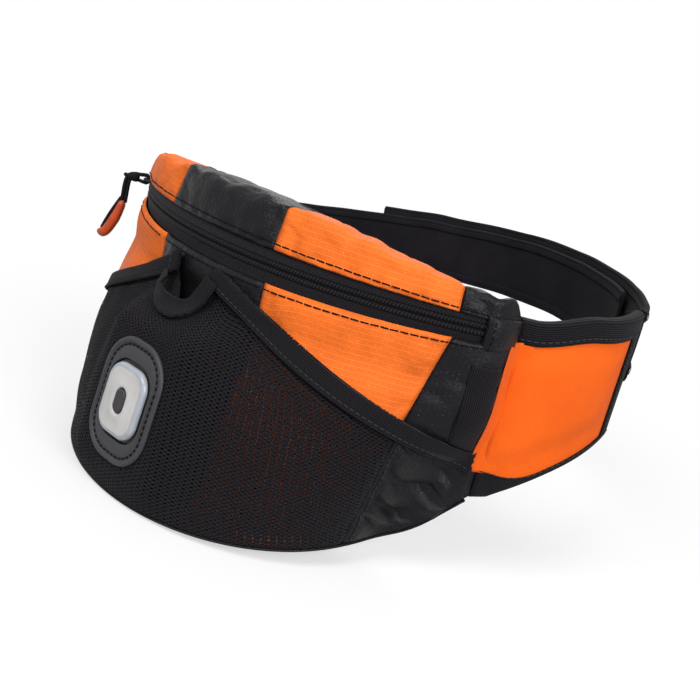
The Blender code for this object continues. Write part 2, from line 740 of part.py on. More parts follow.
def make_pocket():
    gap = seam_angle(SEAM_GAP) / 2

    def mesh_surface(u, v):
        phi = mix(-MESH_SEAM_TOP, MESH_SEAM_TOP, u)
        for _ in range(3):
            height = mix(bottom_height(phi) + SEAM_GAP, mesh_top(phi), v)
            edge = mesh_seam(height) - gap
            phi = mix(-edge, edge, u)
        return pocket_point(phi, height)

    columns = count(2 * MESH_SEAM_TOP, MESH_STEP)
    mesh = shell("pocket_mesh", cloth["mesh"], mesh_surface, columns, POCKET_ROWS, MESH_CLOTH)
    window = plate("light_window", cloth["mesh"], [rounded_outline(LENS_SIZE, -HOUSING_WALL - 2 * GAP)],
                   -HOUSING_DEPTH, HOUSING_DEPTH, light_frame)
    combine(mesh, to_mesh(window, cutters), "DIFFERENCE")

    for name, side in (("left", -1), ("right", 1)):

        def gusset(u, v, side=side):
            phi = mix(MESH_SEAM_TOP, MOUTH_END, u if side > 0 else 1 - u)
            for _ in range(3):
                height = mix(bottom_height(phi) + SEAM_GAP, mouth_height(side * phi) - GAP, v)
                near = mesh_seam(height) + gap
                phi = mix(near, MOUTH_END, u if side > 0 else 1 - u)
            return pocket_point(side * phi, height)

        def binding(u, v, side=side):
            phi = mix(MOUTH_START, MOUTH_END, u if side > 0 else 1 - u)
            height = mouth_height(side * phi) - BINDING_WIDTH * (1 - v)
            return pocket_point(side * phi, height, BINDING_GAP + WEBBING)

        def strip(u, v, side=side):
            phi = mix(STRIP_START, STRIP_END, u if side > 0 else 1 - u)
            height = mix(mouth_height(side * phi) + SEAM_GAP, STRIP_TOP, v)
            return front_point(side * phi, height, LAYER)

        shell(f"pocket_gusset_{name}", cloth["black"], gusset, GUSSET_COLUMNS, GUSSET_ROWS, MESH_CLOTH)
        columns = count(MOUTH_END - MOUTH_START, PHI_STEP)
        shell(f"pocket_binding_{name}", cloth["binding"], binding, columns, BINDING_ROWS, WEBBING)
        shell(f"end_strip_{name}", cloth["binding"], strip, STRIP_COLUMNS, STRIP_ROWS, WEBBING)


def make_key_loop():
    """Elastic webbing loop from under the left binding, round its low point, to the right binding."""
    left_top = mouth_height(LOOP_LEFT) - BINDING_WIDTH - SEAM_GAP
    right_top = mouth_height(0.0) - LOOP_RIGHT_DROP
    route = [(LOOP_LEFT, left_top)]
    route += [(LOOP_LEFT - turn, mix(left_top, LOOP_LOW, share)) for turn, share in LOOP_FALL]
    route.append((LOOP_LOW_ANGLE, LOOP_LOW))
    for turn, share in LOOP_RISE:
        route.append((mix(LOOP_LOW_ANGLE, LOOP_RIGHT, turn), mix(LOOP_LOW, right_top, share)))
    route.append((LOOP_RIGHT, right_top))
    points = rounded_route(route, ROUTE_STEPS)

    def surface(u, v):
        index = round(u * (len(points) - 1))
        phi, height = points[index]
        ahead = points[min(index + 1, len(points) - 1)]
        behind = points[max(index - 1, 0)]
        along = Vector((math.radians(ahead[0] - behind[0]) * ZIP_RADIUS, ahead[1] - behind[1]))
        across = Vector((-along.y, along.x)).normalized() * LOOP_WIDTH
        # the band's inner edge stands off the mesh at its left end and lies flat from its low point on
        lay = mix(LOOP_LAY_LEFT, 90.0, smooth(u / LOOP_LAY_SPAN))
        aside = sin(lay) * (0.5 - v)
        phi += math.degrees(across.x * aside / ZIP_RADIUS)
        lift = mix(LOOP_END_LIFT, LOOP_LIFT, sin(180.0 * u)) + LOOP_THICKNESS / 2
        return pocket_point(phi, height + across.y * aside, lift + cos(lay) * LOOP_WIDTH * (1 - v))

    shell("key_loop", cloth["binding"], surface, len(points) - 1, BINDING_ROWS, LOOP_THICKNESS, 0)


# Safety light
def make_light():
    mould, case = cloth["rubber"], cloth["case"]
    plate("light_patch", mould,
          [rounded_outline(PATCH_SIZE), rounded_outline(LENS_SIZE, -HOUSING_WALL - 2 * GAP)],
          GAP, GAP + PATCH_THICKNESS, light_frame)

    rim = LENS_SEAT - GAP
    housing = plate("light_housing", case, [rounded_outline(LENS_SIZE, -HOUSING_WALL)],
                    -HOUSING_DEPTH, rim, light_frame)
    housing = to_mesh(housing, parts)
    housing.data.materials.clear()
    housing.data.materials.append(case)
    hollow = plate("light_hollow", case, [rounded_outline(LENS_SIZE, GAP)],
                   -HOUSING_DEPTH + HOUSING_WALL, rim + HOUSING_WALL, light_frame)
    combine(housing, to_mesh(hollow, cutters), "DIFFERENCE")

    floor = -HOUSING_DEPTH + HOUSING_WALL + GAP
    round_cell = (2 * BATTERY_RADIUS, 2 * BATTERY_RADIUS, BATTERY_RADIUS)
    plate("light_battery", cloth["metal"], [rounded_outline(round_cell)],
          floor, floor + BATTERY_THICKNESS, light_frame)
    board_low = floor + BATTERY_THICKNESS + GAP
    board_high = board_low + BOARD_THICKNESS
    plate("light_board", cloth["board"], [rounded_outline(LENS_SIZE, GAP + BOARD_MARGIN)],
          board_low, board_high, light_frame)
    for name, side in (("upper", 1), ("lower", -1)):
        half_x, half_y = DIODE_SIZE[0] / 2, DIODE_SIZE[1] / 2
        centre = side * DIODE_SPACING
        plate(f"light_diode_{name}", cloth["diode"],
              [box_outline(-half_x, half_x, centre - half_y, centre + half_y)],
              board_high + GAP, board_high + GAP + DIODE_SIZE[2], light_frame)

    hole = rounded_outline(BUTTON_SIZE, -BUTTON_CLEARANCE)
    plate("light_lens", cloth["lens"], [rounded_outline(LENS_SIZE), hole],
          LENS_SEAT, LENS_SEAT + LENS_THICKNESS, light_frame)
    plate("light_button", mould, [rounded_outline(BUTTON_SIZE)],
          BUTTON_BACK, LENS_SEAT + LENS_THICKNESS + BUTTON_PROUD, light_frame)


# Belt
PACK_CORNER = front_point(PACK_END, ZIP_HEIGHT)
WING_START = math.degrees(
    math.atan2(PACK_CORNER.x, FRONT_CENTRE_Y - PACK_CORNER.y) + WING_JOINT_GAP / FRONT_RADIUS
)


def wing_top(heading):
    fall = WING_TOP_FALL * (1 - smooth((abs(heading) - WING_START) / WING_TOP_RISE))
    return STRAP_HEIGHT / 2 - fall


def wing_bottom(heading):
    share = min((abs(heading) - WING_START) / (WING_END - WING_START), 1.0)
    return WING_TAIL - WING_ROOT_DROP * (1 - share) ** WING_CURVE


WING_OUTER = WING_FOAM / 2 + GAP + WING_FACE
WING_INNER = -WING_FOAM / 2 - GAP - WING_LINING


def make_wing(name, side):
    columns = count(WING_END - WING_START, HEADING_STEP_SIDE)
    edge = GAP + WING_BINDING

    def heading(u):
        return mix(WING_START, WING_END, u if side > 0 else 1 - u)

    layers = (
        ("lining", WING_INNER + WING_LINING, WING_LINING, "lining"),
        ("foam", WING_FOAM / 2, WING_FOAM, "foam"),
        ("face", WING_OUTER, WING_FACE, "face"),
    )
    for layer, face, thickness, colour in layers:

        def surface(u, v, face=face):
            turn = heading(u)
            low, high = wing_bottom(turn) + edge, wing_top(turn) - edge
            return belt_point(side * turn, face, mix(low, high, v))

        shell(f"wing_{layer}_{name}", cloth[colour], surface, columns, WING_ROWS, thickness)

    outer, inner = WING_OUTER + GAP, WING_INNER - GAP

    def top(u, v):
        turn = heading(u)
        high = wing_top(turn) - WING_BINDING
        route = [(outer, high - WING_BINDING_WIDTH), (outer, high), (inner, high),
                 (inner, high - WING_BINDING_WIDTH)]
        offset, height = route[round(v * 3)]
        return belt_point(side * turn, offset, height)

    def bottom(u, v):
        turn = heading(u)
        low = wing_bottom(turn) + WING_BINDING
        route = [(inner, low + WING_BOTTOM_BINDING_WIDTH), (inner, low), (outer, low),
                 (outer, low + WING_BOTTOM_BINDING_WIDTH)]
        offset, height = route[round(v * 3)]
        return belt_point(side * turn, offset, height)

    def end(u, v):
        last = WING_END + math.degrees(GAP / SIDE_RADIUS)
        near = WING_END - WING_END_BINDING
        route = [(outer, near), (outer, last), (inner, last), (inner, near)]
        offset, turn = route[round((u if side > 0 else 1 - u) * 3)]
        spare = WING_BINDING + SEAM_GAP
        low = wing_bottom(turn) + WING_BOTTOM_BINDING_WIDTH + spare
        high = wing_top(turn) - WING_BINDING_WIDTH - spare
        return belt_point(side * turn, offset, mix(low, high, v))

    shell(f"wing_binding_top_{name}", cloth["binding"], top, columns, 3, WING_BINDING, 1)
    shell(f"wing_binding_bottom_{name}", cloth["binding"], bottom, columns, 3, WING_BINDING, 1)
    shell(f"wing_binding_end_{name}", cloth["binding"], end, 3, WING_ROWS, WING_BINDING, 1)


def make_strap(name, start, end, face, drop):
    """Strap from one heading to a larger one; face is the offset of its outer side, drop sets it lower."""
    columns = count(end - start, HEADING_STEP_REAR)
    edge = GAP + STRAP_BINDING
    half = STRAP_HEIGHT / 2

    def band(u, v):
        return belt_point(mix(start, end, u), face, mix(-half + edge, half - edge, v) - drop)

    outer, inner = face + GAP, face - STRAP - GAP
    high = half - STRAP_BINDING

    def top(u, v):
        route = [(outer, high - STRAP_BINDING_WIDTH), (outer, high), (inner, high),
                 (inner, high - STRAP_BINDING_WIDTH)]
        offset, height = route[round(v * 3)]
        return belt_point(mix(start, end, u), offset, height - drop)

    def bottom(u, v):
        route = [(inner, -high + STRAP_BINDING_WIDTH), (inner, -high), (outer, -high),
                 (outer, -high + STRAP_BINDING_WIDTH)]
        offset, height = route[round(v * 3)]
        return belt_point(mix(start, end, u), offset, height - drop)

    shell(f"strap_{name}", cloth["strap"], band, columns, STRAP_ROWS, STRAP)
    shell(f"strap_binding_top_{name}", cloth["binding"], top, columns, 3, STRAP_BINDING, 1)
    shell(f"strap_binding_bottom_{name}", cloth["binding"], bottom, columns, 3, STRAP_BINDING, 1)


def make_closure():
    """Hook patch under the outer strap and loop patch on the inner one, where they overlap."""
    half = STRAP_HEIGHT / 2 - STRAP_BINDING_WIDTH - STRAP_BINDING - SEAM_GAP
    start, end = LEFT_STRAP_END + PATCH_TURN_MARGIN, RIGHT_STRAP_END - PATCH_TURN_MARGIN
    loop_face = -STRAP_SPACING / 2 + GAP + CLOSURE_PATCH
    faces = (("hook_patch", STRAP_SPACING / 2 - GAP, 0.0), ("loop_patch", loop_face, LEFT_STRAP_DROP))
    for name, face, drop in faces:

        def surface(u, v, face=face, drop=drop):
            return belt_point(mix(start, end, u), face, mix(-half, half, v) - drop)

        shell(name, cloth["closure"], surface, count(end - start, HEADING_STEP_REAR), 1, CLOSURE_PATCH)


def make_belt():
    for name, side in (("right", 1), ("left", -1)):
        make_wing(name, side)
    joint = math.degrees((2 * GAP + WING_BINDING + STRAP_JOINT_GAP) / SIDE_RADIUS)
    make_strap("right", WING_END + joint, RIGHT_STRAP_END, STRAP_SPACING / 2 + STRAP, 0.0)
    make_strap("left", LEFT_STRAP_END, 360.0 - WING_END - joint, -STRAP_SPACING / 2, LEFT_STRAP_DROP)
    make_closure()


for old in list(bpy.data.objects):
    bpy.data.objects.remove(old)
parts = bpy.data.collections.new(COLLECTION)
cutters = bpy.data.collections.new("cutters")
bpy.context.scene.collection.children.link(parts)
bpy.context.scene.collection.children.link(cutters)

cloth = {
    "black": fabric("ripstop_black", BLACK, 0.75),
    "orange": fabric("ripstop_orange", ORANGE, 0.65),
    "back": fabric("air_mesh", (0.02, 0.02, 0.022), 0.95),
    "mesh": fabric("pocket_mesh", (0.015, 0.015, 0.017), 0.9),
    "tape": fabric("zip_tape", (0.018, 0.018, 0.02), 0.8),
    "coil": fabric("zip_coil", (0.010, 0.010, 0.012), 0.35),
    "metal": fabric("slider_metal", (0.05, 0.05, 0.055), 0.35, 0.9),
    "cord": fabric("pull_cord", (0.012, 0.012, 0.013), 0.8),
    "grip": fabric("pull_grip", (0.62, 0.09, 0.03), 0.5),
    "binding": fabric("webbing", (0.013, 0.013, 0.015), 0.85),
    "rubber": fabric("light_rubber", (0.03, 0.03, 0.032), 0.6),
    "case": fabric("light_case", (0.02, 0.02, 0.02), 0.5),
    "lens": fabric("light_lens", (0.72, 0.73, 0.72), 0.35),
    "board": fabric("circuit_board", (0.02, 0.16, 0.06), 0.5),
    "diode": fabric("diode", (0.85, 0.80, 0.55), 0.3),
    "face": fabric("wing_face", (0.88, 0.20, 0.04), 0.8),
    "foam": fabric("wing_foam", (0.05, 0.05, 0.05), 0.95),
    "lining": fabric("wing_lining", (0.012, 0.012, 0.014), 0.85),
    "strap": fabric("strap", (0.012, 0.012, 0.014), 0.9),
    "closure": fabric("hook_and_loop", (0.015, 0.015, 0.016), 0.95),
}

light_turn = Matrix.Rotation(math.radians(90.0 - LIGHT_TILT), 4, "X")
light_frame = empty("light_frame", Matrix.Translation((0.0, LIGHT_Y, LIGHT_HEIGHT)) @ light_turn)

make_back_panel()
make_upper_band()
make_lower_front()
make_bottom()
make_zip()
make_pull(make_slider())
make_pocket()
make_key_loop()
make_light()
make_belt()
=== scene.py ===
"""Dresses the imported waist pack: fabric panels, zip, mesh pocket, safety light, belt and studio."""

import math

import bpy
import numpy as np
from mathutils import Matrix, Vector


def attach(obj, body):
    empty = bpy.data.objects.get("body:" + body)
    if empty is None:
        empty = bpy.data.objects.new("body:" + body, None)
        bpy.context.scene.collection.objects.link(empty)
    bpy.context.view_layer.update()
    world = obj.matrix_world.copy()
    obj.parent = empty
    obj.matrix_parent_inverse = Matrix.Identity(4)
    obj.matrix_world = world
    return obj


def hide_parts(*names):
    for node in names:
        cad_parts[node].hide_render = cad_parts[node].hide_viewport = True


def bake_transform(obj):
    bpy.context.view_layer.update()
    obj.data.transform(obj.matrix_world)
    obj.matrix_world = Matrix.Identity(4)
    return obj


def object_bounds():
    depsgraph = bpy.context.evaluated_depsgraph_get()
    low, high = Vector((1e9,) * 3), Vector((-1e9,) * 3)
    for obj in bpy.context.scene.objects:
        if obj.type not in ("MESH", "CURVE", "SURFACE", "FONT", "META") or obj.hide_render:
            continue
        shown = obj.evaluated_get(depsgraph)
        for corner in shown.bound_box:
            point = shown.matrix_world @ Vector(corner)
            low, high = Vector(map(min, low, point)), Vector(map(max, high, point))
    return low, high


bl_info = {
    "name": "Waist Pack Looks",
    "version": (1, 0, 0),
    "blender": (4, 5, 0),
    "location": "View3D > Sidebar > Waist Pack",
    "description": "Builds the fabric, zip, light and belt of a running waist pack on its packed frame",
    "category": "Object",
}

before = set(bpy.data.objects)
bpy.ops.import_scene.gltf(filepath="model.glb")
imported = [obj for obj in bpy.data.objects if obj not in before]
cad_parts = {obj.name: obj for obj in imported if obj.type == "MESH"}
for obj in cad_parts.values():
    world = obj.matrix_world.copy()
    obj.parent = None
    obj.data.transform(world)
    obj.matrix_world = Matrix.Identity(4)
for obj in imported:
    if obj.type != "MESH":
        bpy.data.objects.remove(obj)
CAD_BOX = [list(corner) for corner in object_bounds()]

# Waist loop: front, side and rear arcs (metres, degrees)
FRONT_RADIUS, FRONT_ANGLE = 0.1885, 45.5
SIDE_RADIUS, SIDE_ANGLE = 0.064, 123.0
REAR_RISE, REAR_RISE_START, REAR_RISE_SPAN = 0.0070, 75.0, 80.0
REAR_DROOP, REAR_DROOP_START, REAR_DROOP_SPAN = 0.0275, 155.0, 105.0
LEFT_RISE_START, LEFT_RISE_SPAN = 240.0, 73.0
# Pack; angles are degrees about the zip's axis
GAP = 0.0003
PACK_DEPTH, LEAST_DEPTH, BACK_SEAT = 0.0337, 0.0014, 0.0030
PACK_TOP, PACK_TOP_FALL = 0.0365, 0.0130
PACK_BOTTOM, PACK_BOTTOM_RISE = -0.1245, 0.0140
CORNER_START, CORNER_RISE = 42.0, 0.0200
PACK_END, END_ROUND, END_SPARE = 55.2, 6.8, 0.1
SEAM_CENTRE, SEAM_OUTER, SEAM_LEAN = 13.3, 44.0, 9.5
TOP_LEAN, TOP_SAG, TOP_FOLD, TOP_FOLD_SOFTNESS, TOP_OVERLAP = 0.17, 0.0040, 0.5, 0.07, 0.0010
BULGE, BULGE_START, BULGE_LENGTH, BULGE_POWER = 0.0300, -0.0200, 0.0320, 1.5
BULGE_HEIGHT, BULGE_SPREAD, BULGE_FALL, BULGE_CORNER = 0.120, 50.0, 1.43, 1.5
DEPTH_SOFTNESS = 0.006
BACK_GROOVES = (-31.0, -10.5, 10.5, 31.0)
BAND_LENGTH, FRONT_LENGTH = 0.045, 0.12
# Metres along the front, and along the fuller pocket, for one degree
DEGREE_RUN, POCKET_DEGREE_RUN = 0.003, 0.0033
# Zip
ZIP_RADIUS, ZIP_HEIGHT, ZIP_END, ZIP_CLOSE = 0.1727, 0.0058, 49.2, 2.4
ZIP_HALF_CENTRE, ZIP_HALF_END = 0.0080, 0.0058
COIL_TURNS, EDGE_BEVEL = 190, 0.0003
TAB_START, TAB_END, TAB_LOW, TAB_HIGH = 48.5, 54.6, -0.0088, 0.0076
SLIDER_ANGLE = 46.4
BAIL_HALF_HEIGHT, BAIL_WALL, BAIL_SEAT = 0.0008, 0.0010, 0.0016
CORD_RADIUS, CORD_SPREAD, CORD_REACH, CORD_DROP = 0.0010, 0.0011, 0.0107, 0.0170
CORD_TURN_ANGLES = (15.0, 40.0, 65.0, 90.0)
CORD_TURN = math.hypot(BAIL_HALF_HEIGHT, BAIL_WALL / 2) + CORD_RADIUS + GAP
BAIL_CENTRE = BAIL_SEAT + CORD_TURN + CORD_RADIUS + GAP
GRIP_LENGTH, GRIP_HALF_WIDTH, GRIP_LEAN = 0.0266, 0.0033, 21.0
# Pocket
LAYER = 0.0023
POCKET_GAP, POCKET_GAP_RISE, POCKET_GAP_FLOOR = 0.0120, 0.035, 0.025
MOUTH_START, MOUTH_TOP, MOUTH_SLOPE, MOUTH_END = 4.5, -0.0032, 0.0011, 53.0
MOUTH_FALL_LEFT, MOUTH_EASE_LEFT = 0.058, 1.4
BINDING_WIDTH, BINDING_LIFT = 0.0105, 0.0023
MESH_SEAM_TOP, MESH_SEAM_BOTTOM, MESH_SEAM_TOP_Z = 40.0, 35.5, -0.050
NOTCH_DEPTH, NOTCH_CENTRE, NOTCH_HALF = 0.0250, -0.6, 6.2
STRIP_START, STRIP_END, STRIP_TOP = 48.0, 53.0, -0.0105
LOOP_LEFT, LOOP_RIGHT, LOOP_LOW, LOOP_LOW_ANGLE = -5.7, 4.6, -0.0280, -0.2
LOOP_WIDTH, LOOP_RIGHT_DROP = 0.0080, 0.0072
# Light; sizes are width, height and corner radius
LIGHT_HEIGHT, LIGHT_TILT = -0.0770, 8.0
PATCH_SIZE = (0.0465, 0.0625, 0.0190)
LENS_SIZE = (0.0295, 0.0360, 0.0098)
BUTTON_SIZE = (0.0072, 0.0123, 0.0035)
PATCH_GROOVE, LENS_SPARE, BUTTON_SPARE = 0.0035, 0.0018, 0.00045
FLAT_MARGIN, FLAT_BLEND = 0.001, 0.02
RIM_BANDS = 5
# Belt
WING_END = 108.0
WING_OUTER, WING_INNER = 0.00265, -0.00265
WING_TOP_FALL, WING_TOP_RISE = 0.007, 32.0
WING_TAIL, WING_ROOT_DROP, WING_CURVE = -0.048, 0.0335, 1.6
WING_BINDING_WIDTH, WING_BOTTOM_BINDING_WIDTH = 0.0112, 0.0057
WING_ROOT_BINDING_WIDTH, WING_ROOT_BINDING_SPAN = 0.0150, 22.0
STRAP_HALF, STRAP_ROOT, STRAP_BINDING_WIDTH = 0.0190, 109.6, 0.0050
RIGHT_STRAP_END, LEFT_STRAP_END, LEFT_STRAP_DROP = 211.5, 135.0, 0.0045
RIGHT_STRAP_FACE, LEFT_STRAP_FACE, STRAP = 0.00355, -0.00135, 0.0022
PILE_HALF, PILE_INSET = 0.0125, 4.0
# Thicknesses of cloths, tapes and pads
PANEL_CLOTH, FOLD_CLOTH, FLOOR_CLOTH, MESH_CLOTH, ROOT_CLOTH = 0.0008, 0.0007, 0.0009, 0.0005, 0.0005
ZIP_TAPE, WING_TAPE, STRAP_TAPE, BACK_TAPE, JOINT_TAPE = 0.0006, 0.0006, 0.0005, 0.0005, 0.0004
MOUTH_TAPE, STRIP_TAPE, LOOP_TAPE, PILE = 0.0008, 0.0009, 0.0011, 0.0008
BACK_PAD, WING_PAD = 0.0040, 0.0030
# Stitches: length, gap and half width; a panel's length is set in the sidebar
PANEL_STITCH = (0.0005, 0.00036)
TAB_STITCH = (0.0024, 0.0007, 0.0003)
POCKET_STITCH = (0.0026, 0.0007, 0.00035)
LIGHT_STITCH = (0.0022, 0.0010, 0.0004)
WING_STITCH = (0.0026, 0.0008, 0.00035)
STRAP_STITCH = (0.0026, 0.0008, 0.00033)
# Tapes narrower than this are trim, not sheets
NARROWEST_SHEET = 0.0105
# Cloth settles at ten times its size, where the solver is steady
SETTLE_SCALE, SETTLE_FRAMES = 10.0, 18


def sin(angle):
    return np.sin(np.radians(angle))


def cos(angle):
    return np.cos(np.radians(angle))


def smooth(value):
    value = np.clip(value, 0.0, 1.0)
    return value * value * (3 - 2 * value)


def mix(low, high, share):
    return low + (high - low) * share


def stack(x, y, z):
    return np.stack(np.broadcast_arrays(x, y, z), -1).astype(float)


REAR_RADIUS = SIDE_RADIUS + (FRONT_RADIUS - SIDE_RADIUS) * sin(FRONT_ANGLE) / sin(SIDE_ANGLE)
SIDE_X = (FRONT_RADIUS - SIDE_RADIUS) * sin(FRONT_ANGLE)
SIDE_Y = -(FRONT_RADIUS - SIDE_RADIUS) * cos(FRONT_ANGLE)
REAR_Y = SIDE_Y - (SIDE_RADIUS - REAR_RADIUS) * cos(SIDE_ANGLE)
LOOP_SHIFT = (FRONT_RADIUS - REAR_Y - REAR_RADIUS) / 2
ZIP_AXIS_Y = LOOP_SHIFT - FRONT_RADIUS - PACK_DEPTH + ZIP_RADIUS


# Shapes of the pack, as arrays of points
def belt_point(heading, offset, height):
    """Points beside the loop line; heading 0 faces the front, 90 the right side, 180 the rear."""
    turn = (np.asarray(heading, float) + 180.0) % 360.0 - 180.0
    side = np.where(turn >= 0, 1.0, -1.0)
    turn = np.abs(turn)
    arcs = [turn <= FRONT_ANGLE, turn <= SIDE_ANGLE]
    radius = np.select(arcs, [FRONT_RADIUS, SIDE_RADIUS], REAR_RADIUS) + offset
    x = np.select(arcs, [0.0, SIDE_X], 0.0) + radius * sin(turn)
    y = np.select(arcs, [0.0, SIDE_Y], REAR_Y) - radius * cos(turn) + LOOP_SHIFT
    return stack(side * x, y, height + belt_rise(np.asarray(heading, float) % 360.0))


def belt_rise(heading):
    """Height of the belt's middle line: up along the right side, drooping behind, level again at the left."""
    rise = REAR_RISE * smooth((heading - REAR_RISE_START) / REAR_RISE_SPAN)
    rise = rise - REAR_DROOP * smooth((heading - REAR_DROOP_START) / REAR_DROOP_SPAN)
    return rise + (REAR_DROOP - REAR_RISE) * smooth((heading - LEFT_RISE_START) / LEFT_RISE_SPAN)


def pack_point(phi, rho, height):
    return stack(rho * sin(phi), ZIP_AXIS_Y - rho * cos(phi), height)


def back_rho(phi):
    shift = LOOP_SHIFT - ZIP_AXIS_Y
    return -shift * cos(phi) + np.sqrt(FRONT_RADIUS**2 - (shift * sin(phi)) ** 2)


def top_height(phi):
    return PACK_TOP - PACK_TOP_FALL * (phi / SEAM_OUTER) ** 2


def bottom_height(phi):
    corner = np.maximum(0.0, np.abs(phi) - CORNER_START) / (PACK_END - CORNER_START)
    return PACK_BOTTOM + PACK_BOTTOM_RISE * (phi / CORNER_START) ** 2 + CORNER_RISE * corner**1.5


def end_share(phi):
    reach = np.maximum(0.0, np.abs(phi) - PACK_END + END_ROUND) / (END_ROUND + END_SPARE)
    return np.sqrt(1 - np.minimum(reach, 1.0) ** 2)


def zip_depth(phi):
    return ZIP_RADIUS - back_rho(phi) - BACK_SEAT


def front_depth(phi, height):
    """Depth of the pack's front from its back panel, fullest below the zip and in the middle."""
    fall = np.maximum(0.0, BULGE_START - height) / BULGE_LENGTH
    swell = BULGE * (1 - np.exp(-(fall**BULGE_POWER)))
    low = np.clip((ZIP_HEIGHT - height) / BULGE_HEIGHT, 0.0, 1.0)
    spread = phi / BULGE_SPREAD
    corner = mix(-BULGE_CORNER, BULGE_CORNER, low)
    depth = zip_depth(phi) + swell * (1 - BULGE_FALL * spread**2 - corner * spread**4)
    depth = (depth + np.sqrt(depth**2 + DEPTH_SOFTNESS**2)) / 2
    return np.maximum(depth * end_share(phi), LEAST_DEPTH)


def mouth_height(phi):
    """Height of the pocket's mouth; its left half falls faster at first and levels out."""
    turn = np.maximum(np.abs(phi), MOUTH_START) - MOUTH_START
    left = np.maximum(0.0, 1 - turn / (MOUTH_END - MOUTH_START))
    left_fall = MOUTH_FALL_LEFT * (1 - left**MOUTH_EASE_LEFT)
    return MOUTH_TOP - np.where(np.asarray(phi) > 0, MOUTH_SLOPE * turn, left_fall)


def pocket_room(phi, height):
    below = smooth((mouth_height(phi) - height) / POCKET_GAP_RISE)
    above = smooth((height - bottom_height(phi)) / POCKET_GAP_FLOOR)
    side = 1 - smooth((np.abs(phi) - MESH_SEAM_BOTTOM) / (MOUTH_END - MESH_SEAM_BOTTOM))
    return np.minimum(POCKET_GAP * below * above * side, front_depth(phi, height) - LEAST_DEPTH)


def front_point(phi, height, lift=0.0):
    return pack_point(phi, back_rho(phi) + BACK_SEAT + front_depth(phi, height) + lift, height)


LIGHT_Y = float(front_point(0.0, LIGHT_HEIGHT, LAYER)[1])


def pocket_point(phi, height, lift=0.0):
    """Outer face of the mesh pocket, flat under the light's patch."""
    soft = front_point(phi, height, LAYER + lift)
    slope = math.tan(math.radians(LIGHT_TILT))
    plane_y = LIGHT_Y + slope * (height - LIGHT_HEIGHT) - lift / cos(LIGHT_TILT)
    flat = pack_point(phi, (ZIP_AXIS_Y - plane_y) / cos(phi), height)
    away_x = np.maximum(0.0, np.abs(flat[..., 0]) - PATCH_SIZE[0] / 2 - FLAT_MARGIN) / FLAT_BLEND
    away_z = np.maximum(0.0, np.abs(height - LIGHT_HEIGHT) - PATCH_SIZE[1] / 2 - FLAT_MARGIN) / FLAT_BLEND
    share = smooth(np.hypot(away_x, away_z))[..., None]
    return flat * (1 - share) + soft * share


def band_point(phi, share):
    """Upper band: from the zip (share 0) up a leaning face, over a soft fold and back to the back panel."""
    depth = zip_depth(phi) * end_share(phi)
    zip_edge = (depth, ZIP_HEIGHT + zip_half(phi))
    fold = (depth * (1 - TOP_LEAN), top_height(phi))
    back_edge = (-TOP_OVERLAP, top_height(phi) - TOP_SAG)
    near = np.clip((share - TOP_FOLD) / (2 * TOP_FOLD_SOFTNESS) + 0.5, 0.0, 1.0)
    found = []
    for low, middle, high in zip(zip_edge, fold, back_edge):
        before = mix(low, middle, np.clip(share / TOP_FOLD, 0.0, 1.0))
        straight = mix(before, high, np.clip((share - TOP_FOLD) / (1 - TOP_FOLD), 0.0, 1.0))
        start = mix(low, middle, 1 - TOP_FOLD_SOFTNESS / TOP_FOLD)
        end = mix(middle, high, TOP_FOLD_SOFTNESS / (1 - TOP_FOLD))
        bent = mix(mix(start, middle, near), mix(middle, end, near), near)
        found.append(np.where((near > 0) & (near < 1), bent, straight))
    return pack_point(phi, back_rho(phi) + BACK_SEAT + found[0], found[1])


def zip_half(phi):
    half = mix(ZIP_HALF_CENTRE, ZIP_HALF_END, (phi / SEAM_OUTER) ** 2)
    return half * (1 - smooth((np.abs(phi) - ZIP_END) / ZIP_CLOSE)) + GAP


def mesh_seam(height):
    fall = (MESH_SEAM_TOP_Z - height) / (MESH_SEAM_TOP_Z - PACK_BOTTOM)
    return mix(MESH_SEAM_TOP, MESH_SEAM_BOTTOM, fall)


def mesh_top(phi):
    away = (phi - NOTCH_CENTRE) / NOTCH_HALF
    return mouth_height(phi) - GAP - NOTCH_DEPTH * np.maximum(0.0, 1 - away**2)


PACK_CORNER = front_point(PACK_END, ZIP_HEIGHT)
WING_START = math.degrees(
    math.atan2(PACK_CORNER[0], LOOP_SHIFT - PACK_CORNER[1]) + 0.0005 / FRONT_RADIUS
)


def wing_top(heading):
    return STRAP_HALF - WING_TOP_FALL * (1 - smooth((np.abs(heading) - WING_START) / WING_TOP_RISE))


def wing_bottom(heading):
    share = np.minimum((np.abs(heading) - WING_START) / (WING_END - WING_START), 1.0)
    return WING_TAIL - WING_ROOT_DROP * (1 - share) ** WING_CURVE


def bottom_binding(heading):
    """Width of the wing's bottom binding, widest at the pack."""
    near = np.clip(1 - (heading - WING_START) / WING_ROOT_BINDING_SPAN, 0, 1) ** 2
    return mix(0.5 * WING_BOTTOM_BINDING_WIDTH, WING_ROOT_BINDING_WIDTH, near)


# Cloth character
def bell(distance, reach):
    return np.exp(-((distance / reach) ** 2))


def seam_dip(distance, depth, reach):
    return -depth * bell(distance, reach)


def crumple(a, b, size, seed, sharp=1.0):
    """Creases over a surface measured in metres: crossing waves of about that size, from -1 to 1."""
    chance = np.random.default_rng(seed)
    total = 0.0
    for _ in range(7):
        angle = chance.uniform(0, math.pi)
        wave = 2 * math.pi / (size * chance.uniform(0.7, 1.7))
        crossing = (a * math.sin(angle) - b * math.cos(angle)) * wave * 0.6 + chance.uniform(0, 6)
        bend = 0.25 * size * np.sin(crossing)
        phase = (a * math.cos(angle) + b * math.sin(angle) + bend) * wave + chance.uniform(0, 6)
        total = total + np.sign(np.sin(phase)) * np.abs(np.sin(phase)) ** (1 / sharp)
    return total / 4.0


def grid(columns, rows):
    v, u = np.mgrid[0:1:complex(rows + 1), 0:1:complex(columns + 1)]
    return u, v


